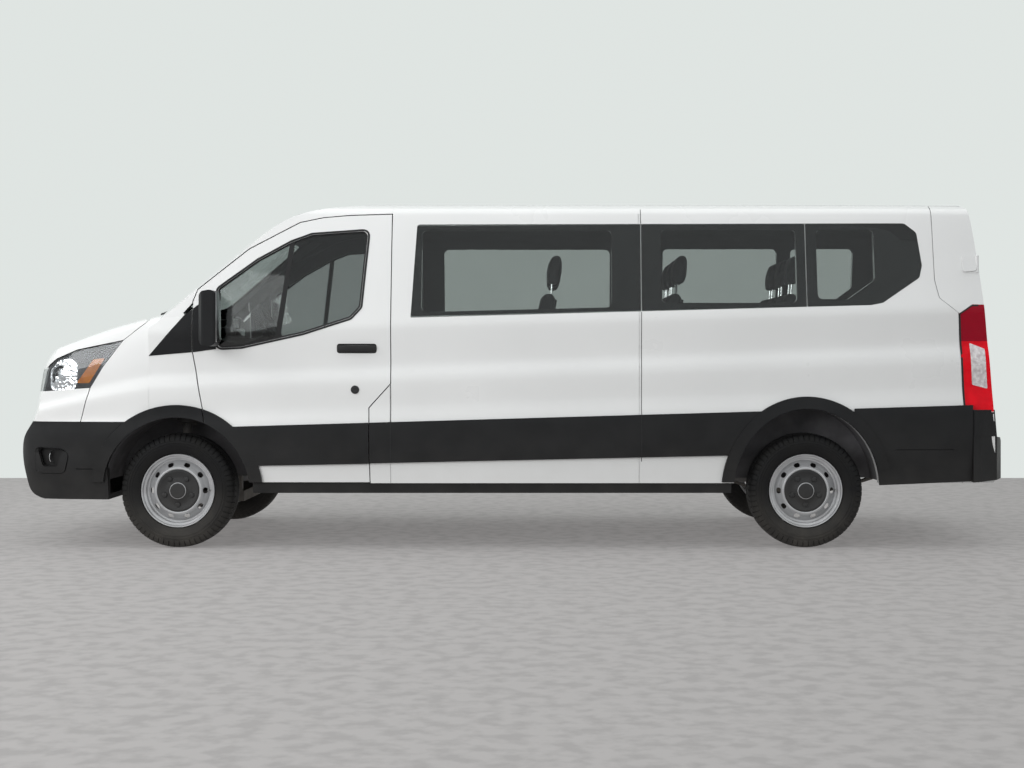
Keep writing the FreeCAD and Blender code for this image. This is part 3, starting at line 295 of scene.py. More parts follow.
# The inside of the cabin: the outer panels carry dark trim on the faces that look inwards,
# which are told from the others by their place and the way they face. The trim is a real
# material, but its colour is darker than the trim's own grey: painted shade for the dim cabin.
inside, inside_in, inside_out = effect("inside", [("Middle", 1.15)], ["Mask"])
TAIL_STARTS = 2.4
INWARD_FROM = -0.15
coordinates = inside.nodes.new("ShaderNodeTexCoord").outputs
facing = node_in(inside, "SeparateXYZ", Vector=coordinates["Normal"]).outputs
standing = node_in(inside, "SeparateXYZ", Vector=coordinates["Object"]).outputs
sideways = math_in(inside, "MULTIPLY", facing["Y"], standing["Y"])
over_middle = math_in(inside, "SUBTRACT", standing["Z"], inside_in.outputs["Middle"])
upwards = math_in(inside, "MULTIPLY", facing["Z"], over_middle)
at_tail = math_in(inside, "MAXIMUM", math_in(inside, "SUBTRACT", standing["X"], TAIL_STARTS), 0)
endways = math_in(inside, "MULTIPLY", math_in(inside, "MULTIPLY", facing["X"], at_tail), 3)
outwards = math_in(inside, "ADD", math_in(inside, "ADD", sideways, upwards), endways)
inside.links.new(math_in(inside, "LESS_THAN", outwards, INWARD_FROM), inside_out.inputs["Mask"])
# Painted shade: the trim's grey is darkened to stand for the shade inside the closed cabin.
SHADED_CABIN_TRIM = (0.085, 0.086, 0.09)


def lined_with_shaded_trim(surface):
    """Turns the inward faces of a painted finish into the cabin's trim, darkened with painted shade."""
    tree = surface.node_tree
    shader = tree.nodes["Principled BSDF"]
    mask = group_in(tree, inside).outputs["Mask"]
    for label, kind, value in (("Base Color", "RGBA", (*SHADED_CABIN_TRIM, 1)), ("Roughness", "FLOAT", 0.75),
                               ("Coat Weight", "FLOAT", 0.0)):
        source = shader.inputs[label]
        outside = source.links[0].from_socket if source.links else source.default_value
        tree.links.new(mix_in(tree, mask, outside, value, kind), source)
    return surface


def white(name):
    """The van's gloss white."""
    return finish(name, [(0.74, 0.745, 0.74), (0.715, 0.72, 0.715)], (0.26, 0.34), 1.2,
                  grain_scale=90, grain_depth=0.00003, dusty=0.10, dust_top=1.1,
                  Coat_Weight=1.0, Coat_Roughness=0.05)


white_paint = white("white_paint")
dress(white_paint, "bonnet", "fender_left", "fender_right", "nose_fascia")
cabin_paint_and_shade = lined_with_shaded_trim(white("cabin_paint_and_shade"))
dress(cabin_paint_and_shade, "side_left", "side_right", "sliding_door", "cab_frame", "roof", "rear_frame",
      "front_door_panel_left", "front_door_panel_right", "rear_door_panel_left",
      "rear_door_panel_right")

# The lower trim: bumpers, flares, side cladding and rockers in grained black plastic, and with
# it the cowl, the grille and the mirror housings.
black_trim = finish(
    "black_trim", [(0.0075, 0.0078, 0.0086), (0.0115, 0.0118, 0.0126)], (0.42, 0.54), 6.0,
    grain_scale=700, grain_depth=0.0002, dusty=0.05, dust_top=0.8, Specular_IOR_Level=0.28)
dress(black_trim, "side_cladding", "front_door_trim_left", "front_door_trim_right", "front_bumper",
      "rear_bumper", "rockers", "cowl_panel", "grille", "mirror_left", "mirror_right")

# Inner pieces: the firewall, the wheel housings and the floor, then the chassis, the engine
# and the exhaust, each group in a dull finish of its own.
black_inner = finish(
    "black_inner", [(0.012, 0.012, 0.013), (0.020, 0.0195, 0.019)], (0.7, 0.9), 8.0,
    grain_scale=300, grain_depth=0.0004, dusty=0.10, dust_top=0.9)
dress(black_inner, "firewall", "radiator_panel", "fuel_tank")
arch_liner = finish("arch_liner", [(0.105, 0.103, 0.110), (0.070, 0.069, 0.074)], (0.7, 0.9), 7.0,
                    grain_scale=260, grain_depth=0.0006, dusty=0.10, dust_top=0.9)
dress(arch_liner, "wheel_housings")
floor_cover = finish("floor_cover", [(0.05, 0.05, 0.052), (0.07, 0.07, 0.072)], (0.6, 0.8), 5.0,
                     grain_scale=500, grain_depth=0.0003)
dress(floor_cover, "floor")
chassis_black = finish("chassis_black", [(0.03, 0.03, 0.032), (0.06, 0.057, 0.053)], (0.5, 0.7), 7.0,
                       grain_scale=250, grain_depth=0.0004, dusty=0.6, dust_top=0.8)
dress(chassis_black, "chassis_frame", "front_subframe", "knuckle_left", "knuckle_right",
      "leaf_springs", "rear_axle", "seat_bases")
cast_iron = finish("cast_iron", [(0.20, 0.195, 0.19), (0.13, 0.125, 0.12)], (0.45, 0.7), 12.0,
                   grain_scale=220, grain_depth=0.0006, Metallic=0.8)
dress(cast_iron, "engine", "propeller_shaft")
exhaust_steel = finish("exhaust_steel", [(0.42, 0.40, 0.38), (0.30, 0.27, 0.24)], (0.35, 0.55), 10.0,
                       grain_scale=150, grain_depth=0.0003, Metallic=1.0)
dress(exhaust_steel, "exhaust")


# The wheels' tyres: a smooth sidewall with two thin moulded rings, ribs round the crown
# and lugs that wrap over both shoulders. Each is moulded in one piece of black rubber.
def lathe(profile, steps):
    """Turns (radius, offset) points about the axle, which lies along Y through the origin."""
    form = bmesh.new()
    ring = [form.verts.new((radius, offset, 0)) for radius, offset in profile]
    path = [form.edges.new(pair) for pair in zip(ring, ring[1:])]
    bmesh.ops.spin(form, geom=ring + path, cent=(0, 0, 0), axis=(0, 1, 0), angle=2 * math.pi,
                   steps=steps, use_merge=True)
    bmesh.ops.remove_doubles(form, verts=form.verts, dist=0.00001)
    bmesh.ops.recalc_face_normals(form, faces=form.faces)
    return form


def repeat_round(form, count):
    """Copies everything in the form evenly round the axle."""
    bmesh.ops.spin(form, geom=form.verts[:] + form.edges[:] + form.faces[:], cent=(0, 0, 0),
                   axis=(0, 1, 0), angle=2 * math.pi * (count - 1) / count, steps=count - 1,
                   use_duplicate=True)


def lug(profile, angle, chamfer):
    """One block of tread: its (radius, offset) outline swept through a small angle."""
    form = bmesh.new()
    outline = form.faces.new([form.verts.new((radius, offset, 0)) for radius, offset in profile])
    far = ends_of(bmesh.ops.extrude_face_region(form, geom=[outline]))
    bmesh.ops.rotate(form, verts=far, cent=(0, 0, 0), matrix=Matrix.Rotation(angle, 3, "Y"))
    bmesh.ops.recalc_face_normals(form, faces=form.faces)
    if chamfer:
        bmesh.ops.bevel(form, geom=form.edges[:], offset=chamfer, affect="EDGES", segments=1,
                        profile=0.5, material=-1)
    return form


def join(target, source):
    """Adds one form to another and frees it."""
    spare = mesh_of(source, "spare")
    target.from_mesh(spare)
    bpy.data.meshes.remove(spare)


def placed(form, matrix):
    """The form, moved by a matrix."""
    bmesh.ops.transform(form, matrix=matrix, verts=form.verts)
    return form


def ends_of(grown):
    """The vertices that an extrusion has made."""
    return [part for part in grown["geom"] if isinstance(part, bmesh.types.BMVert)]


def put_on(name, form, surface, body="root", crease=35):
    """Makes a finished form a piece that rides on a body."""
    mesh = mesh_of(form, name)
    mesh.materials.append(surface)
    mesh.shade_smooth()
    mesh.set_sharp_from_angle(angle=math.radians(crease))
    piece = shown(name, mesh)
    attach(piece, body)
    return piece


SIDEWALL = [
    (0.2215, 0.086), (0.2245, 0.094), (0.233, 0.101), (0.250, 0.1105), (0.2645, 0.1148),
    (0.2690, 0.1155), (0.2702, 0.1172), (0.2718, 0.1172), (0.2730, 0.1158), (0.2830, 0.1162),
    (0.2842, 0.1176), (0.2858, 0.1176), (0.2870, 0.1160), (0.2960, 0.1140), (0.3060, 0.1080),
    (0.3180, 0.1010), (0.3280, 0.0925), (0.3330, 0.0820),
]
CROWN = [
    (0.3335, 0.0520), (0.3405, 0.0500), (0.3412, 0.0300), (0.3412, 0.0230), (0.3335, 0.0210),
    (0.3335, 0.0140), (0.3412, 0.0125),
]
SHOULDER_LUG = [
    (0.3300, 0.0540), (0.3405, 0.0540), (0.3392, 0.0740), (0.3350, 0.0910), (0.3255, 0.1030),
    (0.3120, 0.1110), (0.2990, 0.1150), (0.2965, 0.1120), (0.3080, 0.1040), (0.3200, 0.0900),
]
LUG_COUNT = 62
LUG_SHARE = 0.84
LUG_CHAMFER = 0.0012
RIB_CUTS = 90
RIB_SHARE = 0.86
RIB_SPACING = 0.0365
RIB_HALF_WIDTH = 0.0105
RIB_FOOT = 0.3350
RIB_FACE = 0.3416
BEAD_RADIUS = 0.2215
TYRE_STEPS = 168

rubber = finish("rubber", [(0.0065, 0.0065, 0.0070), (0.0100, 0.0097, 0.0093)], (0.50, 0.66), 9.0,
                grain_scale=500, grain_depth=0.0003, dusty=0.10, dust_top=0.36, Specular_IOR_Level=0.25)
half_profile = SIDEWALL + CROWN
whole_profile = half_profile + [(radius, -offset) for radius, offset in reversed(half_profile)]
tyre_form = lathe(whole_profile + [(BEAD_RADIUS, 0.0)] + whole_profile[:1], TYRE_STEPS)
for hand in (1, -1):
    shoulder = lug([(radius, hand * offset) for radius, offset in SHOULDER_LUG],
                   2 * math.pi * LUG_SHARE / LUG_COUNT, LUG_CHAMFER)
    repeat_round(shoulder, LUG_COUNT)
    join(tyre_form, shoulder)
for rib_offset in (-RIB_SPACING, 0.0, RIB_SPACING):
    start, end = rib_offset - RIB_HALF_WIDTH, rib_offset + RIB_HALF_WIDTH
    rib_block = lug([(RIB_FOOT, start), (RIB_FACE, start), (RIB_FACE, end), (RIB_FOOT, end)],
                    2 * math.pi * RIB_SHARE / RIB_CUTS, 0)
    repeat_round(rib_block, RIB_CUTS)
    join(tyre_form, rib_block)
tyre_mesh = mesh_of(tyre_form, "tyre")

# The rims stay as pressed steel discs welded to their hoops. Over the middle goes a black
# plastic cover with five pods for the wheel bolts and a round cap, and each has a valve.
steel_rim = finish("steel_rim", [(0.60, 0.605, 0.615), (0.52, 0.525, 0.535)], (0.30, 0.42), 9.0,
                   grain_scale=300, grain_depth=0.0001, dusty=0.12, Metallic=0.7)
cover_plastic = finish("cover_plastic", [(0.020, 0.0203, 0.021), (0.028, 0.0283, 0.029)], (0.32, 0.44),
                       8.0, grain_scale=600, grain_depth=0.0002, dusty=0.06, dust_top=0.5,
                       Specular_IOR_Level=0.3)
valve_metal = finish("valve_metal", [(0.55, 0.55, 0.53), (0.42, 0.42, 0.40)], (0.25, 0.35), 40.0,
                     Metallic=0.9)
COVER = [
    (0.0, 0.1035), (0.036, 0.1035), (0.0425, 0.1030), (0.0455, 0.1010), (0.0465, 0.0950),
    (0.0500, 0.0930), (0.0560, 0.0915), (0.0640, 0.0860), (0.0860, 0.0840), (0.1080, 0.0885),
    (0.1150, 0.0905), (0.1215, 0.0900), (0.1250, 0.0875), (0.1268, 0.0835), (0.1268, 0.0800),
]
COVER_STEPS = 96
BOLT_COUNT = 5
FIRST_POD = 0.31
POD_CIRCLE = 0.0850
POD = [(0, 0.0935), (0.0110, 0.0935), (0.0140, 0.0920), (0.0150, 0.0885), (0.0170, 0.0800)]
VALVE_CIRCLE = 0.1795
VALVE = [(0, 0.0900), (0.0030, 0.0900), (0.0034, 0.0885), (0.0034, 0.0790), (0.0042, 0.0780),
         (0.0050, 0.0600), (0.0058, 0.0420)]


def upright(profile, steps, circle, angle):
    """A small lathe form set on a circle round the axle."""
    form = lathe(profile, steps)
    bmesh.ops.translate(form, verts=form.verts, vec=(circle, 0, 0))
    bmesh.ops.rotate(form, verts=form.verts, cent=(0, 0, 0), matrix=Matrix.Rotation(angle, 3, "Y"))
    return form


for wheel in ("front_left", "front_right", "rear_left", "rear_right"):
    body = "wheel_" + wheel
    low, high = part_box("tyre_" + wheel)
    set_place = Matrix.Translation((Vector(low) + Vector(high)) / 2)
    if wheel.endswith("left"):
        set_place = set_place @ Matrix.Rotation(math.pi, 4, "Z")
    tyre = bmesh.new()
    tyre.from_mesh(tyre_mesh)
    tyre_piece = put_on("tyre_" + wheel + "_moulded", placed(tyre, set_place), rubber, body, 28)
    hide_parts("tyre_" + wheel)
    dress(steel_rim, "rim_" + wheel)
    cover = lathe(COVER, COVER_STEPS)
    for index in range(BOLT_COUNT):
        join(cover, upright(POD, 24, POD_CIRCLE, 2 * math.pi * index / BOLT_COUNT + FIRST_POD))
    put_on("hub_cover_" + wheel, placed(cover, set_place), cover_plastic, body)
    valve = upright(VALVE, 16, VALVE_CIRCLE, math.pi)
    put_on("valve_" + wheel, placed(valve, set_place), valve_metal, body)

# The side windows: each row is one band of tinted panes. Behind them a black printed border
# frames three clear openings on each side, with rounded corners.
GLASS_DEPTH = 0.0062
PRINT_THICKNESS = 0.0008
BORDER_GAP = 0.001
OPENING_RADIUS = 0.034


def outline_of(corners, radius):
    """The corners joined by straight runs with an arc at each, as a closed list of points."""
    points = []
    for index, corner in enumerate(corners):
        corner = Vector(corner)
        back = Vector(corners[index - 1]) - corner
        ahead = Vector(corners[(index + 1) % len(corners)]) - corner
        turn = back.angle(ahead)
        reach = min(radius / math.tan(turn / 2), 0.45 * back.length, 0.45 * ahead.length)
        start = corner + back.normalized() * reach
        end = corner + ahead.normalized() * reach
        for share in (0, 0.2, 0.4, 0.6, 0.8, 1):
            points.append((1 - share) ** 2 * start + 2 * share * (1 - share) * corner + share ** 2 * end)
    return points


def grown_outline(points, margin):
    """The same outline moved outwards, or inwards with a minus margin."""
    area = sum(points[i - 1].x * points[i].y - points[i].x * points[i - 1].y for i in range(len(points)))
    sign = 1 if area > 0 else -1
    moved = []
    for index, point in enumerate(points):
        along = (points[(index + 1) % len(points)] - points[index - 1]).normalized()
        moved.append(point + Vector((along.y, -along.x)) * sign * margin)
    return moved


def filled_in(points, reach=0.03):
    """The same closed outline with points no further apart than a reach."""
    line = []
    for index, point in enumerate(points):
        ahead = points[(index + 1) % len(points)]
        count = max(1, math.ceil((ahead - point).length / reach))
        line += [point.lerp(ahead, step / count) for step in range(count)]
    return line


def skin(*names):
    """The outer surface of some CAD nodes, to lay thin pieces on."""
    corners = []
    triangles = []
    for name in names:
        mesh = nodes[name].data
        start = len(corners)
        corners += [vertex.co.copy() for vertex in mesh.vertices]
        triangles += [[start + index for index in face.vertices] for face in mesh.polygons]
    return BVHTree.FromPolygons(corners, triangles)


def side_place(surface, x, z, side, lift):
    """The point over (x, z) on a body side, lifted outwards."""
    hit = surface.ray_cast(Vector((x, side * 1.5, z)), Vector((0, -side, 0)))[0]
    if hit is None:
        hit = surface.find_nearest(Vector((x, side, z)))[0]
    return Vector((x, hit.y + side * lift, z))


def end_place(surface, y, z, end, lift):
    """The point over (y, z) on the nose or the tail, lifted outwards."""
    hit = surface.ray_cast(Vector((end * 3.5, y, z)), Vector((-end, 0, 0)))[0]
    if hit is None:
        hit = surface.find_nearest(Vector((end * 2.0, y, z)))[0]
    return Vector((hit.x + end * lift, y, z))


def ringed(*loops):
    """A form with one closed line of edges for each loop, bridged if there are two."""
    form = bmesh.new()
    for loop in loops:
        ring = [form.verts.new(corner) for corner in loop]
        for index, vertex in enumerate(ring):
            form.edges.new((ring[index - 1], vertex))
    if len(loops) == 2:
        bmesh.ops.bridge_loops(form, edges=form.edges[:])
    else:
        form.faces.new(form.verts[:])
    return form


def thicken(form, depth):
    """Gives a sheet its thickness: a copy of it is pushed back and the edges are closed."""
    pushed = ends_of(bmesh.ops.extrude_face_region(form, geom=form.faces[:]))
    bmesh.ops.translate(form, verts=pushed, vec=depth)
    bmesh.ops.remove_doubles(form, verts=form.verts, dist=0.00002)
    bmesh.ops.recalc_face_normals(form, faces=form.faces)
    return form


def sheet(outer, hole, surface, level, place, way, lift, thickness, rows, columns):
    """A thin sheet on a skin, from an outline and the hole in it. It is laid out flat along the
    level axis (0 is x, 1 is y), cut into rows and columns so that it can bend, and put in place."""
    along, depth = Vector(), Vector()
    along[level] = 1
    depth[1 - level] = -way * thickness
    form = ringed(*[[along * point.x + Vector((0, 0, point.y)) for point in loop]
                    for loop in (outer, hole) if loop])
    for axis, count, spots in ((Vector((0, 0, 1)), rows, [point.y for point in outer]),
                               (along, columns, [point.x for point in outer])):
        for step in range(1, count):
            cut = min(spots) + (max(spots) - min(spots)) * step / count
            bmesh.ops.bisect_plane(form, geom=form.verts[:] + form.edges[:] + form.faces[:],
                                   plane_co=axis * cut, plane_no=axis)
    for vertex in form.verts:
        vertex.co = place(surface, vertex.co[level], vertex.co.z, way, lift)
    return thicken(form, depth)


def side_sheet(outer, hole, surface, side, lift, thickness, rows, columns=1):
    """A thin sheet on a body side."""
    return sheet(outer, hole, surface, 0, side_place, side, lift, thickness, rows, columns)


def end_sheet(outer, hole, surface, end, lift, thickness, rows):
    """A thin sheet on the nose or the tail."""
    return sheet(outer, hole, surface, 1, end_place, end, lift, thickness, rows, rows)


def glass(name, tint, rough=0.0):
    return finish(name, [tint, tuple(value * 0.97 for value in tint)], (rough, rough + 0.02), 2.0,
                  Transmission_Weight=1.0, IOR=1.45)


side_tint = glass("side_tint", (0.53, 0.56, 0.55))
front_tint = glass("front_tint", (0.42, 0.445, 0.44))
screen_tint = glass("screen_tint", (0.72, 0.78, 0.76))
printed_border = finish("printed_border", [(0.006, 0.006, 0.0065), (0.009, 0.009, 0.0095)],
                        (0.3, 0.4), 5.0)
dress(side_tint, "side_glass", "rear_door_glass_left", "rear_door_glass_right")
dress(front_tint, "front_door_glass_left", "front_door_glass_right")
dress(screen_tint, "windscreen")
PANE_TOP = 1.9400
BORDERS = {
    # each side's panes from the front, as the pane's outline and its clear opening
    "left": [
        ([(-0.541, 1.927), (-0.573, 1.383), (0.797, 1.416), (0.797, 1.936)],
         [(-0.510, 1.900), (-0.510, 1.408), (0.623, 1.436), (0.623, 1.900)]),
        ([(0.801, 1.936), (0.801, 1.416), (1.782, 1.440), (1.782, PANE_TOP)],
         [(0.918, 1.904), (0.918, 1.463), (1.727, 1.463), (1.727, 1.904)]),
        ([(1.786, PANE_TOP), (1.786, 1.440), (2.165, 1.449), (2.236, 1.463), (2.461, 1.614),
          (2.479, 1.687), (2.453, 1.888), (2.381, 1.944)],
         [(1.849, 1.904), (1.849, 1.485), (2.029, 1.485), (2.194, 1.600), (2.194, 1.904)]),
    ],
    "right": [
        ([(-0.541, 1.927), (-0.573, 1.383), (0.778, 1.416), (0.778, 1.936)],
         [(-0.488, 1.900), (-0.488, 1.414), (0.682, 1.438), (0.682, 1.900)]),
        ([(0.788, 1.936), (0.788, 1.416), (1.905, 1.443), (1.905, PANE_TOP)],
         [(1.055, 1.904), (1.055, 1.463), (1.859, 1.463), (1.859, 1.904)]),
        ([(1.909, PANE_TOP), (1.909, 1.443), (2.165, 1.449), (2.236, 1.463), (2.461, 1.614),
          (2.479, 1.687), (2.453, 1.888), (2.381, 1.944)],
         [(1.955, 1.904), (1.955, 1.485), (2.200, 1.485), (2.395, 1.630), (2.395, 1.904)]),
    ],
}
side_panes = skin("side_glass")
for name, side in SIDES:
    for index, (pane_line, opening) in enumerate(BORDERS[name]):
        border = side_sheet(grown_outline(outline_of(pane_line, 0.012), -BORDER_GAP),
                            outline_of(opening, OPENING_RADIUS), side_panes, side, -GLASS_DEPTH,
                            PRINT_THICKNESS, rows=8)
        put_on("window_border_%s_%d" % (name, index + 1), border, printed_border, "root")

# The front door windows: a rubber channel round each opening, and an upright bar that
# parts the fixed quarter glass at the front from the glass that winds down.
DOOR_WINDOW = [(-0.832, 1.897), (-0.873, 1.438), (-0.932, 1.374), (-1.213, 1.283), (-1.578, 1.202),
               (-1.722, 1.194), (-1.722, 1.546), (-1.486, 1.719), (-1.288, 1.829), (-1.168, 1.873)]
QUARTER_BAR = [(-1.2845, 1.838), (-1.3640, 1.236)]
SEAL_WIDTH = 0.013
seal_rubber = finish("seal_rubber", [(0.010, 0.010, 0.0105), (0.015, 0.015, 0.0155)], (0.55, 0.7), 20.0)
window_line = filled_in(outline_of(DOOR_WINDOW, 0.034))


def side_ring(line, inward, outward, surface, side, lift, thickness):
    """A closed flat ring along a line on a body side, from its inward edge to its outward one."""
    form = ringed(*[[side_place(surface, point.x, point.y, side, lift) for point in loop]
                    for loop in (grown_outline(line, outward), grown_outline(line, -inward))])
    return thicken(form, Vector((0, -side * thickness, 0)))


def side_strip(points, width, surface, side, lift, thickness, steps=12):
    """A strip along a line of (x, z) points on a body side."""
    line = []
    for start, end in zip(points, points[1:]):
        line += [Vector(start).lerp(Vector(end), step / steps) for step in range(steps)]
    line.append(Vector(points[-1]))
    form = bmesh.new()
    pairs = []
    for index, point in enumerate(line):
        along = (line[min(index + 1, len(line) - 1)] - line[max(index - 1, 0)]).normalized()
        across = Vector((-along.y, along.x)) * width / 2
        pairs.append([form.verts.new(side_place(surface, spot.x, spot.y, side, lift))
                      for spot in (point + across, point - across)])
    for first, second in zip(pairs, pairs[1:]):
        form.faces.new((first[0], first[1], second[1], second[0]))
    return thicken(form, Vector((0, -side * thickness, 0)))


for name, side in SIDES:
    body = "front_door_" + name
    panel = skin("front_door_panel_" + name)
    pane = skin("front_door_glass_" + name)
    seal = side_ring(window_line, -0.0012, SEAL_WIDTH, panel, side, lift=0.0022, thickness=0.004)
    put_on("door_window_seal_" + name, seal, seal_rubber, body)
    channel = side_ring(window_line, 0.0100, -0.0008, pane, side, lift=0.0018, thickness=0.0016)
    put_on("door_window_channel_" + name, channel, seal_rubber, body)
    divider = side_strip(QUARTER_BAR, 0.030, pane, side, lift=0.0045, thickness=0.004)
    put_on("quarter_glass_bar_" + name, divider, seal_rubber, body)

# The rear arches' flares: a raised lip of the black trim follows each arch and runs down over
# the side cladding. Below the tail lamps, black covers close the corners over the bumper.
LIP_HALF_WIDTH = 0.471
LIP_HEIGHT = 0.527
LIP_WIDTH = 0.068
LIP_STEPS = 40
LIP_START = math.radians(14)
CORNER_SIDE = [(2.776, 0.812), (2.904, 0.812), (2.908, 0.668), (2.776, 0.668)]
rear_low, rear_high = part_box("tyre_rear_left")
arch = (Vector(rear_low) + Vector(rear_high)) / 2
lip_angles = [LIP_START + (math.pi - 2 * LIP_START) * step / LIP_STEPS for step in range(LIP_STEPS + 1)]
lip_line = [(arch.x - LIP_HALF_WIDTH * math.cos(angle), arch.z + LIP_HEIGHT * math.sin(angle))
            for angle in lip_angles]
cladding_skin = skin("side_cladding")
tail_skin = skin("rear_frame", "rear_bumper")
for name, side in SIDES:
    lip = side_strip(lip_line, LIP_WIDTH, cladding_skin, side, lift=0.0055, thickness=0.0060, steps=1)
    put_on("rear_flare_lip_" + name, lip, black_trim, crease=50)
    corner = side_sheet(outline_of(CORNER_SIDE, 0.006), None, tail_skin, side, lift=0.0030,
                        thickness=0.0040, rows=6, columns=8)
    put_on("bumper_corner_" + name, corner, black_trim)

# The windscreen's printed border hides its glue line: wide below, narrower at the sides. The
# rear doors' windows have a border of the same print.
SCREEN = [(-0.800, 1.395), (0.800, 1.395), (0.735, 1.950), (0.300, 1.978), (-0.300, 1.978),
          (-0.735, 1.950)]
SCREEN_CLEAR = [(-0.740, 1.470), (0.740, 1.470), (0.690, 1.905), (0.300, 1.925), (-0.300, 1.925),
                (-0.690, 1.905)]
screen = skin("windscreen")
border = end_sheet(grown_outline(outline_of(SCREEN, 0.070), -0.004), outline_of(SCREEN_CLEAR, 0.060),
                   screen, NOSE, lift=-0.0100, thickness=PRINT_THICKNESS, rows=14)
put_on("windscreen_border", border, printed_border)
REAR_WINDOW = [(0.090, 1.390), (0.090, 1.890), (0.730, 1.890), (0.760, 1.850), (0.800, 1.390)]
REAR_CLEAR = [(0.125, 1.425), (0.125, 1.855), (0.712, 1.855), (0.728, 1.830), (0.764, 1.425)]
for name, side in SIDES:
    pane = skin("rear_door_glass_" + name)
    line = grown_outline(outline_of([(side * y, z) for y, z in REAR_WINDOW], 0.040), -0.002)
    clear = outline_of([(side * y, z) for y, z in REAR_CLEAR], 0.030)
    border = end_sheet(line, clear, pane, TAIL, lift=-0.0060, thickness=PRINT_THICKNESS, rows=6)
    put_on("rear_window_border_" + name, border, printed_border, "rear_door_" + name)

# The headlamps: a clear cover over a black housing, with a bright round bowl for the dipped
# beam at the corner and a smaller one towards the middle, each with its burner.
lamp_cover = glass("lamp_cover", (0.93, 0.95, 0.96))
dress(lamp_cover, "headlamp_lenses")
BOWLS = ((-2.655, 0.862, 1.030, 0.092), (-2.775, 0.690, 1.000, 0.070))
BOWL_AIMS = (0.78, 0.25)
BOWL_MARGIN = 0.001
BOWL_SILVER = (0.78, 0.79, 0.80, 1)
lamp_housing = finish("lamp_housing", [(0.020, 0.020, 0.022), (0.030, 0.030, 0.033)], (0.25, 0.4), 8.0)
tree = lamp_housing.node_tree
shader = tree.nodes["Principled BSDF"]
split = node_in(tree, "SeparateXYZ", Vector=object_place(tree)).outputs
folded = node_in(tree, "CombineXYZ", X=split["X"], Y=math_in(tree, "ABSOLUTE", split["Y"], 0), Z=split["Z"])
bright = 0
for bowl_x, bowl_y, bowl_z, bowl_radius in BOWLS:
    gap = node_in(tree, "VectorMath", "DISTANCE")
    gap.inputs[1].default_value = (bowl_x, bowl_y, bowl_z)
    tree.links.new(folded.outputs[0], gap.inputs[0])
    bright = math_in(tree, "ADD", bright, math_in(tree, "LESS_THAN", gap.outputs["Value"],
                                                  bowl_radius + BOWL_MARGIN))
plain = shader.inputs["Base Color"].links[0].from_socket
tree.links.new(mix_in(tree, bright, plain, BOWL_SILVER), shader.inputs["Base Color"])
tree.links.new(bright, shader.inputs["Metallic"])
dress(lamp_housing, "headlamps")
chrome = finish("chrome", [(0.80, 0.80, 0.81), (0.74, 0.74, 0.75)], (0.06, 0.12), 12.0, Metallic=1.0)
bulb_glass = finish("bulb_glass", [(0.62, 0.63, 0.62), (0.55, 0.56, 0.56)], (0.08, 0.15), 9.0)
BURNER = [(0, 0.030), (0.012, 0.029), (0.020, 0.022), (0.0235, 0.010), (0.024, -0.010), (0.022, -0.030)]
for name, side in SIDES:
    for index, (bowl_x, bowl_y, bowl_z, bowl_radius) in enumerate(BOWLS):
        towards = Vector((-0.62, side * BOWL_AIMS[index], 0.02)).normalized()
        turn = Vector((0, 1, 0)).rotation_difference(towards).to_matrix().to_4x4()
        set_place = Matrix.Translation((bowl_x, side * bowl_y, bowl_z)) @ turn
        burner = lathe(BURNER + [(0.016, -bowl_radius + 0.004)], 40)
        put_on("lamp_burner_%s_%d" % (name, index + 1), placed(burner, set_place), bulb_glass, "root")

# The joints between the left side's pressings: dark sealed lines, one from the roof's edge to
# the sill between two windows, and one below the notch in the front door's rear edge.
door_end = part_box("front_door_panel_left")[1][0]
PRESSING_JOINTS = [
    [(0.799, 0.520), (0.799, 1.408)], [(0.799, 1.942), (0.799, 2.030)],
    [(door_end + 0.003, 0.520), (door_end + 0.003, 0.978)],
]
JOINT_WIDTH = 0.0036
pressing_skin = skin("side_left", "side_cladding", "roof")
for index, joint in enumerate(PRESSING_JOINTS):
    joint_line = side_strip(joint, JOINT_WIDTH, pressing_skin, LEFT, lift=0.0008, thickness=0.0016, steps=80)
    put_on("pressing_joint_%d" % (index + 1), joint_line, seal_rubber)

# The tail lamps: red faces moulded with fine ribs, darker over the upper third, and a silver
# faceted insert for the reversing light. A black edge seats each lamp in the body's corner.
DEEP_RED = (0.22, 0.001, 0.014, 1)
DEEP_RED_FROM = 1.235
lamp_red = finish("lamp_red", [(0.78, 0.002, 0.012), (0.66, 0.001, 0.010)], (0.10, 0.16), 14.0,
                  Coat_Weight=0.15, Coat_Roughness=0.03, Specular_IOR_Level=0.12)
tree = lamp_red.node_tree
shader = tree.nodes["Principled BSDF"]
height_up = node_in(tree, "SeparateXYZ", Vector=object_place(tree)).outputs["Z"]
ribs = math_in(tree, "SINE", math_in(tree, "MULTIPLY", height_up, 900), 0)
ribbed = node_in(tree, "Bump", Distance=0.0004, Strength=0.6, Height=ribs)
tree.links.new(ribbed.outputs["Normal"], shader.inputs["Normal"])
upper = math_in(tree, "GREATER_THAN", height_up, DEEP_RED_FROM)
plain = shader.inputs["Base Color"].links[0].from_socket
tree.links.new(mix_in(tree, math_in(tree, "MULTIPLY", upper, 0.85), plain, DEEP_RED),
               shader.inputs["Base Color"])
dress(lamp_red, "tail_lamps")
LAMP_EDGES = [
    # name, line, width
    ("tail_lamp_edge_", [(2.6935, 1.397), (2.7245, 0.850), (2.7270, 0.822)], 0.010),
    ("tail_lamp_top_edge_", [(2.6935, 1.397), (2.768, 1.448), (2.808, 1.448)], 0.009),
    ("tail_lamp_low_edge_", [(2.7270, 0.8215), (2.8600, 0.8215)], 0.010),
]
LAMP_INSERT = [(2.7560, 1.2250), (2.8480, 1.1900), (2.8660, 0.9520), (2.7720, 0.9760)]
insert_silver = finish("insert_silver", [(0.86, 0.83, 0.83), (0.56, 0.50, 0.51)], (0.12, 0.24), 42.0,
                       grain_scale=120, grain_depth=0.0015, Metallic=0.35, Coat_Weight=1.0)
lamp_surface = skin("tail_lamps")
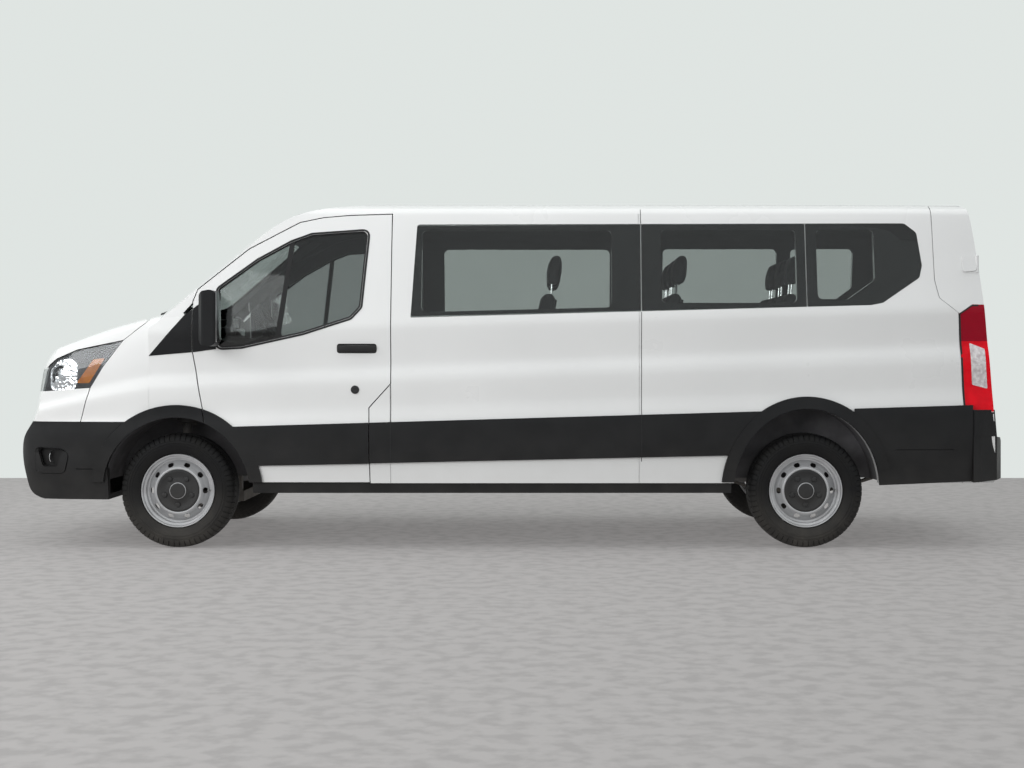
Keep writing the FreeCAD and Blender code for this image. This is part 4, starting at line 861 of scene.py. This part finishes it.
for name, side in SIDES:
    for edge_name, line, width in LAMP_EDGES:
        edge = side_strip(line, width, lamp_surface, side, lift=0.0012, thickness=0.004)
        put_on(edge_name + name, edge, seal_rubber)
    insert = side_sheet(outline_of(LAMP_INSERT, 0.006), None, lamp_surface, side, lift=0.0016,
                        thickness=0.0012, rows=10, columns=10)
    put_on("tail_lamp_insert_" + name, insert, insert_silver, "root")

# The door handles: a black moulded bar over a thin plate, with a round lock cover below on
# the driver's door. The sliding door has the same handle.


HANDLE_LENGTH = 0.226
HANDLE_HEIGHT = 0.034
HANDLE_REACH = 0.030
HANDLE_CREASE = 45


def handle_form(length, matrix):
    """A handle bar with its ends turned in to the door, moved by a matrix from its place along X."""
    form = bmesh.new()
    bmesh.ops.create_cube(form, size=1)
    bmesh.ops.scale(form, verts=form.verts, vec=(length, HANDLE_REACH, HANDLE_HEIGHT))
    bmesh.ops.translate(form, verts=form.verts, vec=(0, HANDLE_REACH / 2, 0))
    bmesh.ops.subdivide_edges(form, edges=[edge for edge in form.edges if abs(
        edge.verts[0].co.x - edge.verts[1].co.x) > length / 2], cuts=7, use_grid_fill=True)
    for vertex in form.verts:
        share = abs(vertex.co.x) / (length / 2)
        if vertex.co.y > HANDLE_REACH / 2:
            vertex.co.y = HANDLE_REACH * (1 - 0.35 * share ** 3)
        elif share < 0.80:
            vertex.co.y = HANDLE_REACH * 0.45
        vertex.co.z *= 1 - 0.22 * share ** 2
    bmesh.ops.recalc_face_normals(form, faces=form.faces)
    bmesh.ops.bevel(form, geom=form.edges[:], offset=0.0035, affect="EDGES", segments=2, profile=0.5,
                    material=-1)
    bmesh.ops.recalc_face_normals(placed(form, matrix), faces=form.faces)
    return form


def box_line(x_from, x_to, z_from, z_to, radius):
    """A level box as an outline with rounded corners."""
    return outline_of([(x_from, z_from), (x_to, z_from), (x_to, z_to), (x_from, z_to)], radius)


handle_plastic = finish("handle_plastic", [(0.012, 0.012, 0.0125), (0.018, 0.018, 0.0185)], (0.4, 0.5),
                        9.0, grain_scale=800, grain_depth=0.0001)
SLOPE_STEP = 0.03
HANDLES = [
    # name, panel, body, x, z, side
    ("driver_handle", "front_door_panel_left", "front_door_left", -0.893, 1.196, LEFT),
    ("passenger_handle", "front_door_panel_right", "front_door_right", -0.893, 1.196, RIGHT),
    ("sliding_handle", "sliding_door", "root", -0.560, 1.196, RIGHT),
]
for handle_name, panel_name, body, x, z, side in HANDLES:
    panel = skin(panel_name)
    seat_point = side_place(panel, x, z, side, 0)
    slope_point = side_place(panel, x, z + SLOPE_STEP, side, 0)
    lean = math.atan2(side * (slope_point.y - seat_point.y), SLOPE_STEP)
    set_place = Matrix.Translation(seat_point + Vector((0, -side * 0.002, 0)))
    if side == LEFT:
        set_place = set_place @ Matrix.Scale(-1, 4, (0, 1, 0))
    bar_form = handle_form(HANDLE_LENGTH, set_place @ Matrix.Rotation(-lean, 4, "X"))
    put_on(handle_name, bar_form, handle_plastic, body, crease=HANDLE_CREASE)
    plate_line = box_line(x - 0.118, x + 0.118, z - 0.033, z + 0.024, 0.018)
    plate = side_sheet(plate_line, None, panel, side, lift=0.0018, thickness=0.003, rows=3)
    put_on(handle_name + "_plate", plate, handle_plastic, body)
LOCK_PLACE = (-0.903, 0.947)
lock_at = side_place(skin("front_door_panel_left"), *LOCK_PLACE, LEFT, 0)
lock = lathe([(0, 0.006), (0.0065, 0.006), (0.0085, 0.0075), (0.0205, 0.0075), (0.0235, 0.0060),
              (0.0250, 0.0030), (0.0250, -0.006)], 48)
put_on("lock_cover", placed(lock, Matrix.Translation(lock_at) @ Matrix.Rotation(math.pi, 4, "Z")),
       handle_plastic, "front_door_left")

# The rear doors hang on white painted hinges at the corners of the body, two to a door, each
# a strap with an upright barrel at its end.
HINGES = ((2.722, 2.806, 1.698), (2.742, 2.830, 0.770))
BARREL = [(0, 0.052), (0.0105, 0.052), (0.0120, 0.0505), (0.0120, -0.0505), (0.0105, -0.052), (0, -0.052)]
STRAP_FRONT = 0.048
STRAP_BACK = 0.040
STRAP_LIFT = 0.012
BARREL_OUT = Vector((0.006, 0.004, 0))
for name, side in SIDES:
    frame_skin = skin("rear_frame", "side_" + name)
    for hinge_index, (x_from, x_to, z) in enumerate(HINGES):
        strap_line = outline_of([(x_from, z - STRAP_FRONT), (x_to, z - STRAP_BACK), (x_to, z + STRAP_BACK),
                                 (x_from, z + STRAP_FRONT)], 0.016)
        strap = side_sheet(strap_line, None, frame_skin, side, STRAP_LIFT, STRAP_LIFT + 0.001, rows=3)
        put_on("rear_hinge_strap_%s_%d" % (name, hinge_index + 1), strap, white_paint, "root")
        barrel_place = side_place(frame_skin, x_to, z, side, BARREL_OUT.y)
        barrel_place.x += BARREL_OUT.x
        barrel = placed(lathe(BARREL, 32),
                        Matrix.Translation(barrel_place) @ Matrix.Rotation(math.pi / 2, 4, "X"))
        put_on("rear_hinge_barrel_%s_%d" % (name, hinge_index + 1), barrel, white_paint, "root")

# The dashboard: a moulded top with a hood over the instruments, a screen that stands up in the
# middle, four air vents, and a glovebox lid. The steering wheel has a padded boss.
dash_plastic = finish("dash_plastic", [(0.025, 0.025, 0.027), (0.035, 0.035, 0.037)], (0.5, 0.65), 6.0,
                      grain_scale=600, grain_depth=0.0003)
dress(dash_plastic, "dashboard", "steering_wheel")
screen_glass = finish("screen_glass", [(0.012, 0.013, 0.016), (0.016, 0.017, 0.020)], (0.05, 0.10), 3.0,
                      Coat_Weight=0.6)


def block(low, high, edge, segments=2):
    """A block between two corners, its edges rounded."""
    form = bmesh.new()
    bmesh.ops.create_cube(form, size=1)
    bmesh.ops.scale(form, verts=form.verts, vec=[b - a for a, b in zip(low, high)])
    bmesh.ops.translate(form, verts=form.verts, vec=[(a + b) / 2 for a, b in zip(low, high)])
    bmesh.ops.bevel(form, geom=form.edges[:], offset=edge, affect="EDGES", segments=segments, profile=0.5,
                    material=-1)
    return form


def rod(points, radius):
    """A round rod along points."""
    line = bpy.data.curves.new("rod", "CURVE")
    line.dimensions = "3D"
    line.bevel_depth = radius
    line.bevel_resolution = 3
    line.use_fill_caps = True
    spline = line.splines.new("POLY")
    spline.points.add(len(points) - 1)
    for spot, point in zip(spline.points, points):
        spot.co = (*point, 1)
    holder = bpy.data.objects.new("rod", line)
    mesh = bpy.data.meshes.new_from_object(holder)
    form = bmesh.new()
    form.from_mesh(mesh)
    bmesh.ops.remove_doubles(form, verts=form.verts, dist=0.00001)
    bmesh.ops.recalc_face_normals(form, faces=form.faces)
    bpy.data.objects.remove(holder)
    bpy.data.curves.remove(line)
    bpy.data.meshes.remove(mesh)
    return form


DRIVER_LINE = -0.430
VENT_MIDDLES = (-0.880, -0.180, 0.180, 0.880)
VENT_HALF_WIDTH = 0.060
VENT_BACK = -1.6660
VENT_ROUNDING = 0.0012
VENT_END = 0.004
SLAT_HEIGHTS = (1.130, 1.145, 1.160, 1.175, 1.190)
SLAT_THICKNESS = 0.003
vent_blocks = []
for vent_y in VENT_MIDDLES:
    start, end = vent_y - VENT_HALF_WIDTH, vent_y + VENT_HALF_WIDTH
    vent_blocks += [((VENT_BACK, start, slat_z), (-1.6400, end, slat_z + SLAT_THICKNESS), VENT_ROUNDING)
                    for slat_z in SLAT_HEIGHTS]
    vent_blocks += [((VENT_BACK, end_y, 1.122), (-1.6380, end_y + VENT_END, 1.202), VENT_ROUNDING)
                    for end_y in (start - VENT_END, end)]
DASH_BLOCKS = [
    # name, finish, then each block as its low corner, high corner, rounding and its steps
    ("instrument_hood", dash_plastic, [
        ((-1.900, DRIVER_LINE - 0.190, 1.268), (-1.690, DRIVER_LINE + 0.190, 1.325), 0.022, 4),
        ((-1.835, -0.125, 1.262), (-1.795, 0.125, 1.395), 0.010, 3)]),
    ("screens", screen_glass, [
        ((-1.7925, -0.115, 1.275), (-1.7900, 0.115, 1.387), 0.0010),
        ((-1.6895, DRIVER_LINE - 0.150, 1.276), (-1.6870, DRIVER_LINE + 0.150, 1.318), 0.0010)]),
    ("air_vents", dash_plastic, vent_blocks),
    ("glovebox_lid", dash_plastic, [((-1.6420, 0.300, 0.985), (-1.6360, 0.780, 1.095), 0.0025)]),
]
for name, surface, blocks in DASH_BLOCKS:
    piece_form = bmesh.new()
    for corners in blocks:
        join(piece_form, block(*corners))
    put_on(name, piece_form, surface, "root")
WHEEL_CENTRE = Vector((-1.480, DRIVER_LINE, 1.290))
WHEEL_TILT = math.radians(62)
boss = placed(block((-0.075, -0.090, -0.028), (0.075, 0.090, 0.014), edge=0.020, segments=4),
              Matrix.Translation(WHEEL_CENTRE) @ Matrix.Rotation(WHEEL_TILT, 4, "Y"))
put_on("wheel_boss", boss, dash_plastic, "steering_wheel")

# The seats: two in the cab and three rows of three, padded squabs, backs and headrests in dark
# cloth with sewn channels, on the CAD's steel legs. Each back has a moulded shell behind it.
seat_cloth = finish("seat_cloth", [(0.040, 0.041, 0.044), (0.060, 0.061, 0.065)], (0.80, 0.95), 14.0,
                    grain_scale=900, grain_depth=0.0008, Sheen_Weight=0.3)
seat_shell = finish("seat_shell", [(0.030, 0.030, 0.032), (0.042, 0.042, 0.044)], (0.45, 0.6), 8.0,
                    grain_scale=600, grain_depth=0.0002)
SEAT_WIDTH = 0.440
SQUAB = [(-0.488, 0.014), (0.006, 0.014), (0.008, 0.116), (-0.486, 0.145)]
BACK = [(-0.052, 0.080), (0.016, 0.056), (0.146, 0.598), (0.070, 0.608)]
HEADREST = [(0.082, 0.652), (0.162, 0.652), (0.178, 0.832), (0.120, 0.838)]
PAD_VOXEL = 0.020
PAD_SWELL = 0.012
CLOTH_FRAMES = 20


def pad_cover(outline, half_width, edge):
    """A closed cover from its outline seen from the side."""
    form = bmesh.new()
    face = form.faces.new([form.verts.new((point.x, -half_width, point.y))
                           for point in outline_of(outline, edge)])
    far = ends_of(bmesh.ops.extrude_face_region(form, geom=[face]))
    bmesh.ops.translate(form, verts=far, vec=(0, 2 * half_width, 0))
    bmesh.ops.recalc_face_normals(form, faces=form.faces)
    return form


def stuffed(form):
    """Fills a cover: an even mesh that swells as cloth under pressure, then is rounded."""
    cover = shown("cover", mesh_of(form, "cover"))
    bpy.context.view_layer.objects.active = cover
    even = cover.modifiers.new("even", "REMESH")
    even.mode = "VOXEL"
    even.voxel_size = PAD_VOXEL
    bpy.ops.object.modifier_apply(modifier=even.name)
    starts = [vertex.co.copy() for vertex in cover.data.vertices]
    cloth = cover.modifiers.new("swell", "CLOTH")
    cloth.settings.use_pressure = True
    cloth.settings.uniform_pressure_force = 4
    cloth.settings.effector_weights.gravity = 0
    for step in range(1, CLOTH_FRAMES + 1):
        bpy.context.scene.frame_set(step)
    bpy.ops.object.modifier_apply(modifier=cloth.name)
    bpy.context.scene.frame_set(1)
    for vertex, start in zip(cover.data.vertices, starts):
        moved = vertex.co - start
        if moved.length > PAD_SWELL:
            vertex.co = start + moved.normalized() * PAD_SWELL
    rounded = cover.modifiers.new("rounded", "SUBSURF")
    rounded.levels = 1
    rounded.render_levels = 1
    bpy.ops.object.modifier_apply(modifier=rounded.name)
    filled = bmesh.new()
    filled.from_mesh(cover.data)
    bpy.data.objects.remove(cover)
    return filled


def sew(form, facing, along, places, depth=0.009, width=0.010):
    """Draws channels into the side of a pad that faces a way, at places along an axis."""
    form.normal_update()
    for vertex in form.verts:
        if vertex.normal.dot(facing) < 0.35:
            continue
        nearest = min(abs(vertex.co[along] - spot) for spot in places)
        vertex.co -= facing * depth * math.exp(-(nearest / width) ** 2)


UPWARDS = Vector((0, 0, 1))
FORWARDS = Vector((-0.97, 0, 0.24))
PADS = [
    # outline, half width, rounding, the side that is sewn, and its channels by axis
    (SQUAB, SEAT_WIDTH / 2 - 0.012, 0.050, UPWARDS, {1: (-0.140, 0.140), 0: (-0.395, -0.130)}),
    (BACK, SEAT_WIDTH / 2 - 0.022, 0.036, FORWARDS, {1: (-0.130, 0.130), 2: (0.250, 0.470)}),
    (HEADREST, 0.124, 0.036, FORWARDS, {}),
]
seat_forms = []
for outline, half_width, rounding, facing, channels in PADS:
    pad = stuffed(pad_cover(outline, half_width, rounding))
    for axis, places in channels.items():
        sew(pad, facing, axis, places)
    seat_forms.append(mesh_of(pad, "pad"))
SEATS = [("front_seats", -0.930, y, 0.500, 0.930) for y in (-0.430, 0.430)]
SEATS += [("rear_benches", x, y, SEAT_WIDTH, 0.940)
          for x in (0.150, 0.930, 1.643) for y in (-0.470, -0.020, 0.430)]
SHELL_LEAN = math.radians(12.9)
shells = bmesh.new()
posts = bmesh.new()
for index, (node, x, y, width, low) in enumerate(SEATS):
    seat_pads = bmesh.new()
    for mesh in seat_forms:
        seat_pads.from_mesh(mesh)
    set_place = Matrix.Translation((x, y, low)) @ Matrix.Diagonal((1, width / SEAT_WIDTH, 1, 1))
    seat_piece = put_on("seat_%02d" % (index + 1), placed(seat_pads, set_place), seat_cloth, "root",
                        60)
    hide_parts(node)
    for post_y in (y - 0.060, y + 0.060):
        join(posts, rod([(x + 0.112, post_y, low + 0.560), (x + 0.120, post_y, low + 0.690)], radius=0.006))
    reach = width / 2 - 0.040
    shell = block((-0.006, -reach, -0.230), (0.006, reach, 0.230), edge=0.005)
    shell_place = Matrix.Translation((x + 0.093, y, low + 0.330)) @ Matrix.Rotation(SHELL_LEAN, 4, "Y")
    join(shells, placed(shell, shell_place))
put_on("headrest_posts", posts, chrome, "root")
put_on("seat_shells", shells, seat_shell, "root")

# The wipers: two black arms that rise from the cowl and lie along the foot of the windscreen,
# each with its blade.
WIPERS = (((-0.640, 1.398), (-0.060, 1.440)), ((0.080, 1.398), (0.640, 1.428)))
WIPER_STEPS = 12
ARM_STEPS = 6
BLADE_RISE = 0.012
WIPER_HUB = [(0, 0.010), (0.012, 0.010), (0.017, 0.007), (0.019, -0.004), (0.019, -0.016)]
WIPER_RODS = [
    # how far it reaches along the line, rise, lift off the screen, radius
    (ARM_STEPS, 0, 0.012, 0.0055), (WIPER_STEPS, BLADE_RISE, 0.012, 0.0055),
    (WIPER_STEPS, BLADE_RISE, 0.005, 0.0025),
]
for index, (foot, tip) in enumerate(WIPERS):
    line = [Vector(foot).lerp(Vector(tip), step / WIPER_STEPS) for step in range(WIPER_STEPS + 1)]
    hub_place = Matrix.Translation(end_place(screen, *foot, NOSE, lift=0.001))
    wiper = placed(lathe(WIPER_HUB, 24), hub_place @ Matrix.Rotation(math.radians(55), 4, "X"))
    for reach, rise, lift, radius in WIPER_RODS:
        join(wiper, rod([end_place(screen, point.x, point.y + rise, NOSE, lift)
                         for point in line[:reach + 1]], radius))
    put_on("wiper_%d" % (index + 1), wiper, handle_plastic)

# Inside the headlamp cover: a faceted silver reflector round the dipped beam's bowl, and the
# amber reflector at the rear corner. The rest of the housing stays black.
SILVER = [(-2.738, 0.940), (-2.738, 1.062), (-2.684, 1.120), (-2.612, 1.132), (-2.570, 1.100),
          (-2.572, 0.985), (-2.592, 0.944)]
AMBER = [(-2.574, 0.985), (-2.472, 1.126), (-2.400, 1.136), (-2.497, 0.985)]
reflector = finish("reflector", [(0.86, 0.87, 0.88), (0.66, 0.67, 0.68)], (0.08, 0.18), 26.0,
                   grain_scale=60, grain_depth=0.004, Metallic=0.9)
amber = finish("amber", [(0.62, 0.20, 0.015), (0.52, 0.15, 0.01)], (0.12, 0.2), 30.0)
housing = skin("headlamps")
for name, side in SIDES:
    silver_form = side_sheet(outline_of(SILVER, 0.030), None, housing, side, lift=0.0015,
                             thickness=0.0012, rows=16, columns=16)
    put_on("lamp_reflector_" + name, silver_form, reflector, "root", 50)
    amber_form = side_sheet(outline_of(AMBER, 0.008), None, housing, side, lift=0.0045,
                            thickness=0.003, rows=8, columns=8)
    put_on("indicator_" + name, amber_form, amber, "root")

# The fog lamps: a raised frame round each pocket in the bumper's corners, with a small round
# lamp of bright metal in it.
FOG_FRAME = [(-2.835, 0.607), (-2.612, 0.578), (-2.645, 0.446), (-2.829, 0.446)]
FOG_HOLE = [(-2.812, 0.597), (-2.652, 0.592), (-2.690, 0.489), (-2.777, 0.489)]
FOG_LAMP = [(0.030, 0.0), (0.036, 0.010), (0.038, 0.014), (0.036, 0.016), (0.034, 0.012), (0.012, 0.002),
            (0, 0.001)]
FOG_AIM = math.radians(-62)
bumper_skin = skin("front_bumper")
fog_hole = grown_outline(outline_of(FOG_HOLE, 0.018), 0.004)
for name, side in SIDES:
    frame_form = side_sheet(outline_of(FOG_FRAME, 0.040), fog_hole, bumper_skin, side, lift=0.0125,
                            thickness=0.0120, rows=10, columns=12)
    put_on("fog_frame_" + name, frame_form, black_trim, crease=50)
    lamp_seat = side_place(bumper_skin, -2.732, 0.543, side, lift=0.002)
    aim = Matrix.Rotation(side * FOG_AIM, 4, "Z") @ Matrix.Rotation(math.pi if side == LEFT else 0, 4, "Z")
    fog = placed(lathe(FOG_LAMP, 40), Matrix.Translation(lamp_seat) @ aim)
    put_on("fog_lamp_" + name, fog, chrome, "root")

# The mirrors: a silvered glass in the back of each housing. The housings themselves are the
# CAD's and wear the black trim.
mirror_silver = finish("mirror_silver", [(0.80, 0.81, 0.82), (0.77, 0.78, 0.79)], (0.02, 0.04), 4.0,
                       Metallic=1.0)
for name, side in SIDES:
    low, high = sorted((side * 1.0835, side * 1.2215))
    mirror_glass = block((-1.6900, low, 1.2285), (-1.6865, high, 1.5215), edge=0.0015)
    put_on("mirror_glass_" + name, mirror_glass, mirror_silver, "front_door_" + name)

# The black corner before each front window carries three moulded ribs: the two lower ones run
# on from the fender's half to the door's.
RIBS = [
    ((-1.985, 1.2425), (-1.8770, 1.2500)), ((-1.8655, 1.2510), (-1.8100, 1.2550)),
    ((-1.912, 1.3230), (-1.8770, 1.3265)), ((-1.8655, 1.3275), (-1.8100, 1.3330)),
    ((-1.8655, 1.3920), (-1.8100, 1.3980)),
]
DOOR_STARTS = -1.87
RIB_WIDTH = 0.012
for name, side in SIDES:
    for index, rib_line in enumerate(RIBS):
        on_door = rib_line[0][0] > DOOR_STARTS
        base = skin("front_door_trim_" + name) if on_door else cladding_skin
        rib = side_strip(rib_line, RIB_WIDTH, base, side, lift=0.0030, thickness=0.0035, steps=6)
        put_on("corner_rib_%s_%d" % (name, index + 1), rib, black_trim,
               "front_door_" + name if on_door else "root")

# The tail: a handle over its plate on the right door, and a blank number plate in its holder
# on the left door, with a lamp over it.
plate_white = finish("plate_white", [(0.70, 0.70, 0.69), (0.66, 0.66, 0.65)], (0.3, 0.4), 5.0)


def tail_plate(name, door, box, lift, thickness, surface):
    """A thin plate on a rear door; the box is its y from and to, z from and to, and rounding."""
    form = end_sheet(box_line(*box), None, skin("rear_door_panel_" + door), TAIL, lift, thickness, rows=4)
    put_on(name, form, surface, "rear_door_" + door)


tail_plate("plate_holder", "left", (-0.395, -0.065, 1.005, 1.185, 0.010), 0.0050, 0.006, black_trim)
tail_plate("plate", "left", (-0.383, -0.077, 1.017, 1.173, 0.008), 0.0075, 0.0015, plate_white)
tail_plate("plate_lamp", "left", (-0.290, -0.170, 1.198, 1.226, 0.008), 0.0120, 0.012, black_trim)
REAR_HANDLE_LENGTH = 0.200
handle_seat = end_place(skin("rear_door_panel_right"), 0.150, 1.135, TAIL, lift=-0.001)
rear_bar = handle_form(REAR_HANDLE_LENGTH, Matrix.Translation(handle_seat) @ Matrix.Rotation(
    -math.pi / 2, 4, "Z"))
put_on("rear_handle", rear_bar, handle_plastic, "rear_door_right", crease=HANDLE_CREASE)
tail_plate("rear_handle_plate", "right", (0.040, 0.260, 1.105, 1.165, 0.016), 0.0018, 0.003, handle_plastic)
